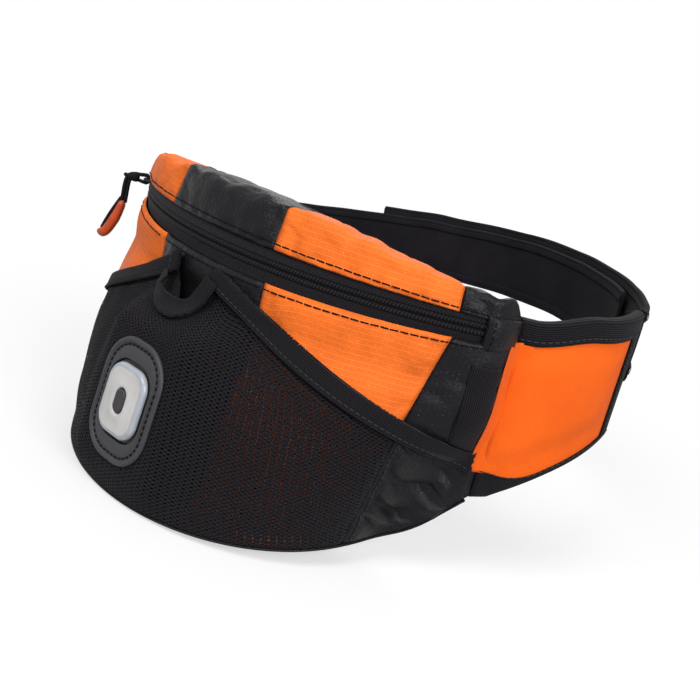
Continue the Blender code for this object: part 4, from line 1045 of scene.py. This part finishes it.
class Zip(bpy.types.Operator):
    """Builds the zip: woven tapes, coils, stops, slider and pull"""

    bl_idname = "waist_pack.zip"
    bl_label = "Main Zip"

    def execute(self, context):
        for name, side, end in (("upper", 1, "right"), ("lower", -1, "left")):
            u, v = grid(150, 12)
            phi = mix(-ZIP_END, ZIP_END, turned(u, side))
            away = mix(-0.00005, zip_half(phi) + 0.0006, v)
            bulge = 0.0008 * bell(away - 0.0016, 0.0013) + seam_dip(away, 0.0006, 0.0004)
            rho = ZIP_RADIUS - 0.0012 + bulge - 0.0004 * smooth((away - 0.004) / 0.003)
            points = pack_point(phi, rho, ZIP_HEIGHT + side * away)
            cloth(f"zip_tape_{name}_cloth", points, ZIP_TAPE, "zip_tape", [f"zip_tape_{name}"])
            self.coil(name, side)
            dress_node(f"zip_stop_{end}", "zip_coil", EDGE_BEVEL)
        stitches("zip_tab_stitching", [self.tab("left", -1), self.tab("right", 1)], TAB_STITCH)
        dress_node("zip_slider", "slider_metal", EDGE_BEVEL)
        self.pull()
        return {"FINISHED"}

    def tab(self, name, side):
        """A folded tab of the end panel over the zip's end; returns the run of its stitches."""
        u, v = grid(16, 30)
        share = turned(u, side)
        phi = mix(TAB_START, TAB_END, share)
        away = mix(TAB_LOW, TAB_HIGH, v) * (1 - 0.2 * share**2)
        swell = smooth(share / 0.16) * (1 - 0.6 * smooth((share - 0.3) / 0.7)) * cos(90 * (2 * v - 1)) ** 0.5
        creases = crumple(phi * DEGREE_RUN, away, 0.011, 151 + side, 1.8) * sin(180 * v) * smooth(share / 0.2)
        lean = np.clip((away - 0.006) / 0.02, 0.0, 1.0) * TOP_LEAN
        rho = back_rho(phi) + BACK_SEAT + zip_depth(phi) * end_share(phi) * (1 - lean)
        points = pack_point(side * phi, rho + 0.0007 + 0.0026 * swell + 0.0004 * creases, ZIP_HEIGHT + away)
        cloth(f"zip_tab_{name}", points, FOLD_CLOTH, "ripstop_black", sheet=False)
        return column_run(points, 3 if side > 0 else -4)

    def coil(self, name, side):
        """A running row of coil turns behind the tape."""
        t = np.linspace(0.0, 1.0, COIL_TURNS * 6 + 1)
        phi = mix(-ZIP_END + 0.3, ZIP_END - 0.3, t)
        spin = t * COIL_TURNS * 2 * math.pi
        rho = ZIP_RADIUS - 0.0022 + 0.00028 * np.cos(spin)
        height = ZIP_HEIGHT + side * (0.00135 + 0.0006 * np.sin(spin))
        turns = rod(f"zip_coil_{name}_turns", pack_point(phi, rho, height), 0.00022, 0)
        keep(turns, "zip_coil", [f"zip_coil_{name}"])

    def pull(self):
        """The doubled cord with its sleeve and knot, and the moulded grip."""
        hinge = pack_point(-SLIDER_ANGLE, ZIP_RADIUS + BAIL_CENTRE, ZIP_HEIGHT)
        along = np.array([cos(-SLIDER_ANGLE), sin(-SLIDER_ANGLE), 0.0])
        out = np.array([sin(-SLIDER_ANGLE), -cos(-SLIDER_ANGLE), 0.0])
        up = np.array([0.0, 0.0, 1.0])
        route = self.cord_route()
        points = hinge + route[:, :1] * up + route[:, 1:] * out
        cord = rod("pull_cord_loop", points, CORD_RADIUS * 1.15)
        keep(cord, "pull_cord", ["zip_pull_cord"], "pull")
        self.sleeve(hinge, along, up, out)
        grip = self.grip(hinge, along, up, out)
        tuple(points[0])

    def cord_route(self):
        """The cord's line as (up, out) from the bail's middle: two strands that join on the bail."""
        spread, reach, drop = CORD_SPREAD, CORD_REACH, CORD_DROP

        def strand(side):
            turn = [(CORD_TURN * sin(angle) * side, -CORD_TURN * cos(angle)) for angle in CORD_TURN_ANGLES]
            return turn + [
                (spread * side * 1.5, reach * 0.42), (spread * side * 1.1, reach * 0.72),
                (spread * side * 0.6 - drop * 0.08, reach * 0.93 + spread * side * 0.8),
                (-drop * 0.35, reach + spread * side), (-drop * 0.70, reach + spread * side),
                (-drop, reach + spread * side),
            ]

        return catmull([*reversed(strand(1)), *strand(-1)], 4)

    def sleeve(self, hinge, along, up, out):
        """The sleeve that gathers the cord beside the slider, with the knot behind it."""
        rings = []
        for share in np.linspace(0.0, 1.0, 14):
            swell = math.sqrt(max(0.02, 1 - (2 * share - 1) ** 4))
            centre = hinge + out * mix(CORD_REACH * 0.34, CORD_REACH * 1.02, share) - up * 0.0006 * share
            rings.append(ring(centre, along, up, 0.0021 * swell, mix(0.0034, 0.0023, share) * swell))
        keep(ring_stack("pull_sleeve", rings), "pull_cord", (), "pull")
        knot = hinge + out * (CORD_REACH + 0.0014) - up * 0.0002
        bead = []
        for turn in np.linspace(172, 8, 9):
            half = 0.0012 * sin(turn)
            bead.append(ring(knot + out * 0.0013 * cos(turn), along, up, half, half))
        keep(ring_stack("pull_knot", bead), "pull_cord", (), "pull")

    def grip(self, hinge, along, up, out):
        """The grip, which leans out from the pack, with the cord let into its face."""
        down = -up * cos(GRIP_LEAN) + out * sin(GRIP_LEAN)
        face = up * sin(GRIP_LEAN) + out * cos(GRIP_LEAN)
        top = hinge - up * (CORD_DROP - 0.0012) + out * CORD_REACH
        rings = []
        for share in np.concatenate([[0.0, 0.02, 0.06], np.linspace(0.1, 0.9, 17), [0.95, 0.985, 1.0]]):
            end = math.sqrt(max(0.01, 1 - max(0.0, abs(share - 0.5) - 0.38) ** 2 / 0.0146))
            knob = bell(share - 0.93, 0.09)
            bow = -0.0012 * math.sin(math.pi * share) + 0.0010 * knob
            deep = mix(0.0022, 0.0031, min(1.0, share * 2.2)) + 0.0005 * knob
            centre = top + down * GRIP_LENGTH * share + face * bow
            rings.append(ring(centre, along, face, GRIP_HALF_WIDTH * end, deep * end, 0.85))
        grip = keep(ring_stack("pull_grip_moulding", rings), "pull_grip", ["zip_pull_grip"], "pull")
        share = np.linspace(-0.03, 0.82, 14)[:, None]
        spine = top + down * GRIP_LENGTH * share + face * (0.0021 + 0.0006 * sin(180 * share))
        keep(rod("pull_grip_cord", spine, 0.0011), "pull_cord", (), "pull")
        return grip


class Pocket(bpy.types.Operator):
    """Builds the mesh pocket, its gussets, slanted bindings, elastic loop and end strips"""

    bl_idname = "waist_pack.pocket"
    bl_label = "Mesh Pocket"

    def execute(self, context):
        look = context.scene.waist_pack
        self.mesh(look)
        runs = []
        for name, side in (("left", -1), ("right", 1)):
            runs += self.gusset(name, side, look)
            runs += self.binding(name, side)
            self.strip(name, side)
        stitches("pocket_stitching", runs, POCKET_STITCH, "thread_grey")
        self.loop()
        return {"FINISHED"}

    def mesh(self, look):
        u, v = grid(110, 60)
        phi = mix(-MESH_SEAM_TOP, MESH_SEAM_TOP, u)
        # the side seams slant, so angle and height are found together
        for _ in range(4):
            height = mix(bottom_height(phi) + GAP, mesh_top(phi), v)
            phi = mix(-1.0, 1.0, u) * mesh_seam(height)
        points = pocket_point(phi, height)
        across = np.maximum(np.abs(points[..., 0]) - PATCH_SIZE[0] / 2, 0)
        up = np.maximum(np.abs(height - LIGHT_HEIGHT) - PATCH_SIZE[1] / 2, 0)
        clear = smooth(np.hypot(across, up) / 0.012)
        run = phi * POCKET_DEGREE_RUN
        folds = crumple(run, height, 0.05, 91, 1.3) * clear
        pull_lines = np.sin((run * 0.55 + height) * 2 * math.pi / 0.016) * bell(height - mesh_top(phi), 0.022)
        rise = look.crease_depth * (0.9 * folds + 0.5 * pull_lines * clear)
        rise = rise * smooth(v * 12) * smooth((1 - v) * 10)
        points = raised(points, rise + seam_dip(edge_distance(u, 0.23), 0.0006, 0.0018))
        mesh = cloth("pocket_mesh_cloth", points, MESH_CLOTH, "pocket_mesh", ["pocket_mesh"], sheet=False)
        self.window(mesh)
        declare_sheet(points)

    def window(self, mesh):
        """Opens the mesh where the light's housing passes through it."""
        hole = layers(LENS_SIZE, (-LENS_SPARE, -0.01), (-LENS_SPARE, 0.01))
        cutter = ring_stack("light_window", light_rings(hole))
        bpy.context.scene.collection.objects.link(cutter)
        cut = mesh.modifiers.new("window", "BOOLEAN")
        cut.operation = "DIFFERENCE"
        cut.solver = "EXACT"
        cut.object = cutter
        bpy.context.view_layer.update()
        done = bpy.data.meshes.new_from_object(mesh.evaluated_get(bpy.context.evaluated_depsgraph_get()))
        mesh.modifiers.clear()
        mesh.data = done
        bpy.data.objects.remove(cutter)

    def gusset(self, name, side, look):
        u, v = grid(34, 44)
        share = turned(u, side)
        phi = mix(MESH_SEAM_TOP, MOUTH_END, share)
        for _ in range(4):
            height = mix(bottom_height(phi) + GAP, mouth_height(side * phi) - GAP, v)
            phi = mix(mesh_seam(height), MOUTH_END, share)
        points = pocket_point(side * phi, height, -0.0018 * smooth((phi - 50.0) / 3.0))
        # folds slant down to the lower outer corner
        run, climb = (MOUTH_END - phi) * DEGREE_RUN, height - bottom_height(phi)
        phase = (run - 0.9 * climb) / 0.016 + 0.15 * crumple(run, height, 0.03, 131 + side)
        folds = 2.0 * np.abs(sin(180 * phase)) - 1.2
        calm = smooth(share * 7) * smooth((1 - share) * 5) * smooth(v * 6) * smooth((1 - v) * 6)
        rise = look.crease_depth * 3.2 * folds * calm
        rise = rise + seam_dip(share * 0.03, 0.0006, 0.0016)
        points = settle(name, raised(points, rise), 0.012, 0.1, 0.0006, 0.0010)
        node = f"pocket_gusset_{name}"
        cloth(f"{node}_cloth", points, FOLD_CLOTH, "ripstop_black", [node])
        return [column_run(points, 2 if side > 0 else -3)]

    def binding(self, name, side):
        """Elastic binding along one half of the mouth; the left one ends in a folded hem."""
        u, v = grid(90, 14)
        phi = mix(MOUTH_START, MOUTH_END + 0.8, turned(u, side))
        height = mouth_height(side * phi) - BINDING_WIDTH * (1 - v)
        points = pocket_point(side * phi, height, BINDING_LIFT * (1 - 0.4 * smooth((phi - 51.0) / 2.0)))
        lower_roll = 0.0007 * bell(v - 0.08, 0.06)
        stitch_dip = seam_dip(v - 0.24, 0.0004, 0.05)
        edge = -0.0007 * (np.exp(-((1 - v) / 0.05)) + 0.6 * np.exp(-(v / 0.03)))
        points = raised(points, lower_roll + stitch_dip + edge)
        node = f"pocket_binding_{name}"
        cloth(f"{node}_tape", points, MOUTH_TAPE, "webbing", [node])
        runs = [edge_run(points, 3)]
        if side < 0:
            u, v = grid(14, 14)
            phi = mix(-MOUTH_START - 2.3, -MOUTH_START + 0.1, u)
            height = mouth_height(phi) - BINDING_WIDTH * 1.03 * (1 - v) + 0.0002
            fold = 0.0007 + 0.0008 * np.sqrt(np.clip(1 - np.abs(2 * u - 1) ** 4, 0, 1))
            hem = pocket_point(phi, height, BINDING_LIFT + fold)
            cloth("pocket_hem", hem, FOLD_CLOTH, "webbing", sheet=False)
            runs.append(column_run(hem, 4))
        return runs

    def strip(self, name, side):
        u, v = grid(12, 30)
        phi = mix(STRIP_START, STRIP_END, turned(u, side))
        height = mix(mouth_height(side * phi) + 0.0004, STRIP_TOP, v)
        points = raised(front_point(side * phi, height, LAYER), 0.0003 * sin(180 * u))
        node = f"end_strip_{name}"
        cloth(f"{node}_tape", points, STRIP_TAPE, "webbing_upright", [node], slot="webbing")

    def loop(self):
        """Elastic band: on edge at its left end, turning to lie flat at its right end."""
        left_top = mouth_height(LOOP_LEFT) - BINDING_WIDTH - 0.0006
        right_top = mouth_height(0.0) - LOOP_RIGHT_DROP
        route = catmull([
            (LOOP_LEFT, left_top),
            (LOOP_LEFT - 0.7, mix(left_top, LOOP_LOW, 0.55)),
            (LOOP_LEFT + 2.1, mix(left_top, LOOP_LOW, 0.88)),
            (LOOP_LOW_ANGLE, LOOP_LOW),
            (mix(LOOP_LOW_ANGLE, LOOP_RIGHT, 0.50), mix(LOOP_LOW, right_top, 0.13)),
            (mix(LOOP_LOW_ANGLE, LOOP_RIGHT, 0.85), mix(LOOP_LOW, right_top, 0.66)),
            (LOOP_RIGHT, right_top),
        ], 9)
        ahead = np.gradient(route, axis=0)
        run = np.stack([np.radians(ahead[:, 0]) * ZIP_RADIUS, ahead[:, 1]], -1)
        across = np.stack([-run[:, 1], run[:, 0]], -1)
        across = across / np.linalg.norm(across, axis=1, keepdims=True) * LOOP_WIDTH
        u = np.linspace(0, 1, len(route))
        v = np.linspace(0, 1, 9)[:, None]
        lay = mix(60.0, 90.0, smooth((u - 0.25) / 0.45))
        aside = sin(lay) * (0.5 - v)
        phi = route[:, 0] + np.degrees(across[:, 0] * aside / ZIP_RADIUS)
        lift = mix(0.0036, 0.0060, sin(180.0 * u)) + cos(lay) * LOOP_WIDTH * (1 - v)
        points = pocket_point(phi, route[:, 1] + across[:, 1] * aside, lift)
        cloth("elastic_loop_band", points, LOOP_TAPE, "webbing", ["key_loop"], "loop", side=0)


def light_place():
    """Frame of the light: X right, Y up its face, Z outward."""
    tilt = Matrix.Rotation(math.radians(90.0 - LIGHT_TILT), 4, "X")
    return Matrix.Translation((0.0, LIGHT_Y, LIGHT_HEIGHT)) @ tilt


def layers(size, *steps):
    """Outlines of one size, each with its height, for steps of (inset, height)."""
    return [(rounded_outline(size, inset), height) for inset, height in steps]


def light_rings(outlines):
    """Rings of points in the light's frame, from outlines with their heights."""
    place = light_place()
    return np.array([[place @ Vector((x, y, z)) for x, y in shape] for shape, z in outlines])


class SafetyLight(bpy.types.Operator):
    """Builds the clip light: patch, lens and button, and dresses its inner parts"""

    bl_idname = "waist_pack.safety_light"
    bl_label = "Safety Light"

    def execute(self, context):
        patch = layers(
            PATCH_SIZE, (0.0002, 0.0003), (0.0, 0.0008), (0.0003, 0.0016), (0.0009, 0.0021), (0.0018, 0.0022),
            (0.0026, 0.0019), (0.0030, 0.0013),
            (PATCH_GROOVE + 0.0012, 0.0013), (PATCH_GROOVE + 0.0018, 0.0018))
        patch += layers(
            LENS_SIZE, (-0.0034, 0.0021), (-0.0022, 0.0021), (-LENS_SPARE, 0.0019), (-LENS_SPARE, 0.0003))
        moulding = ring_stack("light_patch_moulding", light_rings(patch), True)
        keep(moulding, "light_rubber", ["light_patch"])
        path = light_rings(layers(PATCH_SIZE, (PATCH_GROOVE + 0.0004, 0.0016)))[0]
        path = np.concatenate([path, path[:1]])
        normal = np.array(light_place().to_3x3() @ Vector((0, 0, 1)))
        stitches("light_stitching", [(path, np.tile(normal, (len(path), 1)))], LIGHT_STITCH)

        lens = layers(
            LENS_SIZE, (0.0004, 0.0012), (0.0, 0.0017), (0.0, 0.0030), (0.0004, 0.0038), (0.0012, 0.0043),
            (0.0024, 0.0046), (0.0036, 0.0047))
        lens += layers(
            BUTTON_SIZE, (-0.0034, 0.0048), (-0.0026, 0.0051), (-0.0012, 0.0051),
            (-BUTTON_SPARE, 0.0047), (-BUTTON_SPARE, 0.0012))
        cover = keep(ring_stack("light_lens_moulding", light_rings(lens), True), "light_lens", ["light_lens"])
        # the first bands of faces, round the cover's side, take a darker, bluer copy of the lens plastic:
        # painted shade
        cover.data.materials.append(finish("lens_rim"))
        for polygon in cover.data.polygons[: RIM_BANDS * len(lens[0][0])]:
            polygon.material_index = 1
        button = layers(
            BUTTON_SIZE, (0.0, 0.0004), (0.0, 0.0048), (0.0003, 0.0053), (0.0010, 0.0056), (0.0020, 0.0053),
            (0.0030, 0.0052))
        moulding = ring_stack("light_button_moulding", light_rings(button))
        keep(moulding, "light_rubber", ["light_button"], "button")
        inner = {"housing": "light_case", "battery": "cell_steel", "board": "circuit_board",
                 "diode_upper": "diode", "diode_lower": "diode"}
        for node, surface in inner.items():
            dress_node(f"light_{node}", surface)
        return {"FINISHED"}


def u_profile(outer, inner, width, steps=8):
    """Route of (offset, drop below the edge) over an edge: down the outer face, round, and down the inner."""
    centre, half, crown = (outer + inner) / 2, (outer - inner) / 2, 0.0016
    falls = (1.0, 0.8, 0.6, 0.45, 0.3)
    route = [(outer, width * fall) for fall in falls]
    route += [(centre + half * cos(a), crown * (1 - sin(a))) for a in np.linspace(0, 180, steps + 1)]
    route += [(inner, width * fall) for fall in reversed(falls)]
    return np.array(route)


class Wings(bpy.types.Operator):
    """Builds the padded belt wings with their bindings"""

    bl_idname = "waist_pack.wings"
    bl_label = "Belt Wings"

    def execute(self, context):
        for name, side in (("right", 1), ("left", -1)):
            self.cushion(name, side)
            self.root(name, side)
            self.bindings(name, side)
        return {"FINISHED"}

    def cushion(self, name, side):
        """The wing's soft face, its pad and its lining."""
        body = f"wing_{name}"
        u, v = grid(70, 44)
        share = turned(u, side)
        heading = mix(WING_START + 0.3, WING_END - 0.4, share)
        low, high = wing_bottom(heading) + 0.001, wing_top(heading) - 0.001
        height = mix(low, high, v)
        rim = np.minimum(np.minimum(v, 1 - v) * (high - low), (1 - share) * 0.085) - 0.0105
        crown = 0.0016 * smooth(rim / 0.014)
        wave = 0.0005 * crumple(heading * 0.0012, height, 0.045, 171 + side) * smooth(rim / 0.01)
        face = belt_point(side * heading, WING_OUTER - 0.0002 + crown + wave, height)
        cloth(f"wing_face_{name}_cloth", face, PANEL_CLOTH, "wing_face", [f"wing_face_{name}"], body)
        core = belt_point(side * heading, 0.00145 + crown * 0.9, height)
        pad = cloth(f"wing_pad_{name}", core, WING_PAD, "padding", [f"wing_foam_{name}"], body, sheet=False)
        back = belt_point(side * heading, WING_INNER + 0.0002 - 0.6 * crown, height)[:, ::-1]
        cloth(f"wing_lining_{name}_cloth", back, PANEL_CLOTH, "wing_lining", [f"wing_lining_{name}"], body)

    def root(self, name, side):
        """The wing's face where it runs up to the seam on the pack's rounded end."""
        u, v = grid(24, 40)
        heading = mix(WING_START, WING_START + 5.0, np.clip((u - 0.5) / 0.5, 0, 1))
        low = wing_bottom(heading) + bottom_binding(heading)
        height = mix(low, wing_top(heading) - WING_BINDING_WIDTH, v)
        phi = mix(53.7, PACK_END, np.clip(u / 0.6, 0, 1))
        on_pack = front_point(phi, height, mix(0.0011, 0.0007, smooth(u / 0.4)))
        on_wing = belt_point(heading, WING_OUTER + mix(0.0006, -0.0005, smooth((u - 0.7) / 0.3)), height)
        points = mix(on_pack, on_wing, smooth((u - 0.45) / 0.2)[..., None])
        if side < 0:
            points = points[:, ::-1] * (-1.0, 1.0, 1.0)
        obj = cloth(f"wing_root_{name}", points, ROOT_CLOTH, "wing_face", body=None, sheet=False)
        start, end = points[20, [4, 20] if side > 0 else [20, 4]]
        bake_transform(obj)
        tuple(start)
        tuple(end)

    def bindings(self, name, side):
        """Tapes folded over the wing's top, bottom and rear edges, with their stitches."""
        body = f"wing_{name}"
        route = u_profile(WING_OUTER + 0.0002, WING_INNER - 0.0002, WING_BINDING_WIDTH)
        offset, drop = route[:, :1], route[:, 1:]
        turn = np.linspace(WING_START, WING_END, 80)[::side]
        top = belt_point(side * turn, offset, wing_top(turn) - 0.0007 - drop)
        drop = drop * bottom_binding(turn) / WING_BINDING_WIDTH
        bottom = belt_point(side * turn, offset[::-1], wing_bottom(turn) + 0.0007 + drop[::-1])
        end_turn = WING_END + np.degrees((0.0006 - route[:, 1] * 0.85) / SIDE_RADIUS)
        tall = np.linspace(wing_bottom(WING_END) + 0.0022, wing_top(WING_END) - 0.0105, 40)[:, None]
        end = belt_point(side * end_turn[::side], route[::side, 0] * 1.03, tall)
        tapes = (("top", top, "webbing"), ("bottom", bottom, "webbing"), ("end", end, "webbing_upright"))
        for edge, points, surface in tapes:
            node = f"wing_binding_{edge}_{name}"
            cloth(f"{node}_tape", points, WING_TAPE, surface, [node], body, "webbing", side=1, sheet=False)
        runs = [edge_run(top, 1, 0.0009), edge_run(bottom, -1, 0.0009)]
        runs.append(column_run(end, 1 if side > 0 else -2, 0.0009))
        stitches(f"wing_stitching_{name}", runs, WING_STITCH, "thread_grey", body)


class Straps(bpy.types.Operator):
    """Builds the two straps with their bindings and the hook-and-loop patches"""

    bl_idname = "waist_pack.straps"
    bl_label = "Straps"

    def execute(self, context):
        self.strap("right", STRAP_ROOT, RIGHT_STRAP_END, RIGHT_STRAP_FACE, 0.0)
        self.strap("left", LEFT_STRAP_END, 360.0 - STRAP_ROOT, LEFT_STRAP_FACE, LEFT_STRAP_DROP)
        self.patch("hook_patch", 0.00105, "strap_right", 0.0)
        self.patch("loop_patch", -0.0002, "strap_left", LEFT_STRAP_DROP)
        return {"FINISHED"}

    def patch(self, name, face, body, drop):
        u, v = grid(80, 8)
        heading = mix(LEFT_STRAP_END + PILE_INSET, RIGHT_STRAP_END - PILE_INSET, u)
        points = belt_point(heading, face, mix(-PILE_HALF, PILE_HALF, v) - drop)
        cloth(f"{name}_pile", points, PILE, "hook_and_loop", [name], body, sheet=False)

    def strap(self, name, start, end, face, drop):
        body = f"strap_{name}"
        u, v = grid(130, 16)
        heading = mix(start, end, u)
        height = mix(-STRAP_HALF + 0.001, STRAP_HALF - 0.001, v) - drop
        points = belt_point(heading, face - 0.0003 + 0.0004 * sin(180 * v), height)
        cloth(f"strap_{name}_webbing", points, STRAP - 0.0004, "strap", [body], body, sheet=False)
        route = u_profile(face + 0.0002, face - STRAP - 0.0002, STRAP_BINDING_WIDTH)
        offset, fall = route[:, :1], route[:, 1:]
        turn = np.linspace(start, end, 140)
        wander = 0.0004 * crumple(turn * 0.0022, 0.0, 0.03, 211)
        top = belt_point(turn, offset, STRAP_HALF - 0.0006 - drop - fall + wander)
        bottom = belt_point(turn, offset[::-1], -STRAP_HALF + 0.0006 - drop + fall[::-1] - wander)
        runs = []
        for edge, points, row in (("top", top, 1), ("bottom", bottom, -2)):
            node = f"strap_binding_{edge}_{name}"
            cloth(f"{node}_tape", points, STRAP_TAPE, "strap", [node], body, "webbing", side=1, sheet=False)
            runs.append(edge_run(points, row, 0.0008))
        stitches(f"strap_stitching_{name}", runs, STRAP_STITCH, body=body)


class JointTapes(bpy.types.Operator):
    """Builds the flexible tapes that carry the cloth across the belt's sewn joints"""

    bl_idname = "waist_pack.joint_tapes"
    bl_label = "Joint Tapes"

    def execute(self, context):
        strap_turn = WING_END + 0.8
        for name, side in (("right", 1), ("left", -1)):
            self.tape(f"wing_{name}", "pack", side, WING_START, 2.6, (-0.0028, -0.0028), (-0.0808, 0.0116))
            span, offsets, drop = 7.0, (-0.0042, 0.0009), 0.0
            if side < 0:
                span, offsets, drop = 6.0, (0.0042, -0.0002), LEFT_STRAP_DROP
            heights = (-0.0184, 0.0184)
            self.tape(f"strap_{name}", f"wing_{name}", side, strap_turn, span, offsets, heights, drop)
        return {"FINISHED"}

    def tape(self, child, parent, side, heading, span, offsets, heights, drop=0.0):
        """A tape from parent to child across their joint, eased from one offset to the other."""
        u, v = grid(28, 20)
        share = turned(u, side)
        turn = heading + mix(-span, span, share)
        ease = smooth(share)
        points = belt_point(side * turn, mix(*offsets, ease), mix(*heights, v) - drop * ease)
        if offsets[0] < 0:
            points = points[:, ::-1]
        name = f"joint_tape_{child}"
        obj = cloth(name, points, JOINT_TAPE, "strap", body=None, slot="webbing", sheet=False)
        start, end = (belt_point(side * (heading + reach * span), 0.0, 0.0) for reach in (-0.8, 0.8))
        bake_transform(obj)


class Stage(bpy.types.Operator):
    """Sets the pale floor, the studio lamps and the camera"""

    bl_idname = "waist_pack.stage"
    bl_label = "Studio Stage"

    def execute(self, context):
        scene = context.scene
        scene.view_settings.view_transform = "Standard"
        self.floor(scene)
        self.lamps(scene)
        self.camera(scene)
        return {"FINISHED"}

    def floor(self, scene):
        """A white floor that fades into the white surround away from the pack."""
        mesh = bpy.data.meshes.new("floor")
        size, level = 6.0, CAD_BOX[0][2] - 0.0012
        corners = [(x * size, y * size, level) for x, y in ((-1, -1), (1, -1), (1, 1), (-1, 1))]
        mesh.from_pydata(corners, [], [(0, 1, 2, 3)])
        obj = bpy.data.objects.new("floor", mesh)
        scene.collection.objects.link(obj)
        pale = bpy.data.materials.new("floor")
        pale.use_nodes = True
        nodes, links = pale.node_tree.nodes, pale.node_tree.links
        shader = nodes["Principled BSDF"]
        shader.inputs["Base Color"].default_value = (0.88, 0.88, 0.88, 1.0)
        shader.inputs["Roughness"].default_value = 0.9
        shader.inputs["Specular IOR Level"].default_value = 0.0
        place = nodes.new("ShaderNodeNewGeometry")
        reach = nodes.new("ShaderNodeVectorMath")
        reach.operation = "LENGTH"
        links.new(place.outputs["Position"], reach.inputs[0])
        fade = nodes.new("ShaderNodeMapRange")
        fade.interpolation_type = "SMOOTHSTEP"
        for index, value in ((1, 0.20), (2, 0.42), (3, 0.55), (4, 1.0)):
            fade.inputs[index].default_value = value
        links.new(reach.outputs["Value"], fade.inputs[0])
        glow = nodes.new("ShaderNodeEmission")
        links.new(self.seen(nodes, links), glow.inputs["Strength"])
        blend = nodes.new("ShaderNodeMixShader")
        links.new(fade.outputs[0], blend.inputs[0])
        links.new(shader.outputs[0], blend.inputs[1])
        links.new(glow.outputs[0], blend.inputs[2])
        links.new(blend.outputs[0], nodes["Material Output"].inputs["Surface"])
        mesh.materials.append(pale)

    def seen(self, nodes, links):
        """1 for rays that show the background, seen straight, in a gloss or through glass; else 0."""
        path = nodes.new("ShaderNodeLightPath")
        total = path.outputs["Is Camera Ray"]
        for name in ("Is Glossy Ray", "Is Transmission Ray"):
            most = nodes.new("ShaderNodeMath")
            most.operation = "MAXIMUM"
            links.new(total, most.inputs[0])
            links.new(path.outputs[name], most.inputs[1])
            total = most.outputs[0]
        return total

    def lamps(self, scene):
        look = scene.waist_pack
        world = bpy.data.worlds.new("studio")
        scene.world = world
        world.use_nodes = True
        nodes, links = world.node_tree.nodes, world.node_tree.links
        nodes["Background"].inputs["Color"].default_value = (1.0, 1.0, 1.0, 1.0)
        level = nodes.new("ShaderNodeMapRange")
        level.inputs["To Min"].default_value = look.room_light
        links.new(self.seen(nodes, links), level.inputs["Value"])
        links.new(level.outputs[0], nodes["Background"].inputs["Strength"])
        aim = Vector((0, -0.05, -0.04))
        lamps = (
            ("key", (0.15, -1.15, 1.15), 0.8, 17.0),
            ("side", (1.25, -0.45, 0.55), 0.7, 15.0),
            ("rim", (-0.7, 0.9, 1.0), 0.7, 6.0),
        )
        for name, place, size, power in lamps:
            light = bpy.data.lights.new(name, "AREA")
            light.size = size
            light.energy = power
            lamp = bpy.data.objects.new(name, light)
            lamp.location = place
            lamp.rotation_euler = (aim - lamp.location).to_track_quat("-Z", "Y").to_euler()
            scene.collection.objects.link(lamp)

    def camera(self, scene):
        """Camera that matches the photograph: angles in degrees, distances in metres."""
        azimuth, elevation, roll, distance = 40.88, 16.29, 14.44, 0.65392
        target = Vector((-0.0308, 0.01661, -0.07077))
        data = bpy.data.cameras.new("camera")
        data.sensor_width = 36.0
        data.lens = 1028.58 / 700 * 36.0
        data.clip_start = 0.01
        camera = bpy.data.objects.new("camera", data)
        back = Vector((sin(azimuth) * cos(elevation), -cos(azimuth) * cos(elevation), sin(elevation)))
        right = Vector((cos(azimuth), sin(azimuth), 0.0))
        up = back.cross(right)
        tilted_right = right * cos(roll) + up * sin(roll)
        tilted_up = up * cos(roll) - right * sin(roll)
        place = Matrix((tilted_right, tilted_up, back)).transposed().to_4x4()
        place.translation = target + back * distance
        camera.matrix_world = place
        scene.collection.objects.link(camera)
        scene.camera = camera


STEPS = (BackPanel, UpperBand, LowerFront, Zip, Pocket, SafetyLight, Wings, Straps, JointTapes, Stage)


class WaistPackPanel(bpy.types.Panel):
    """Lists the looks' sizes, colours and steps"""

    bl_idname = "VIEW3D_PT_waist_pack"
    bl_label = "Waist Pack"
    bl_space_type = "VIEW_3D"
    bl_region_type = "UI"
    bl_category = "Waist Pack"

    def draw(self, context):
        column = self.layout.column()
        for name in WaistPackLook.__annotations__:
            column.prop(context.scene.waist_pack, name)
        for step in STEPS:
            column.operator(step.bl_idname)


CLASSES = (WaistPackLook, *STEPS, WaistPackPanel)


def register():
    for item in CLASSES:
        bpy.utils.register_class(item)
    bpy.types.Scene.waist_pack = bpy.props.PointerProperty(type=WaistPackLook)


def unregister():
    del bpy.types.Scene.waist_pack
    for item in reversed(CLASSES):
        bpy.utils.unregister_class(item)


def main():
    register()
    bpy.ops.waist_pack.back_panel()
    bpy.ops.waist_pack.upper_band()
    bpy.ops.waist_pack.lower_front()
    bpy.ops.waist_pack.zip()
    bpy.ops.waist_pack.pocket()
    bpy.ops.waist_pack.safety_light()
    bpy.ops.waist_pack.wings()
    bpy.ops.waist_pack.straps()
    bpy.ops.waist_pack.joint_tapes()
    bpy.ops.waist_pack.stage()


if __name__ == "__main__":
    main()
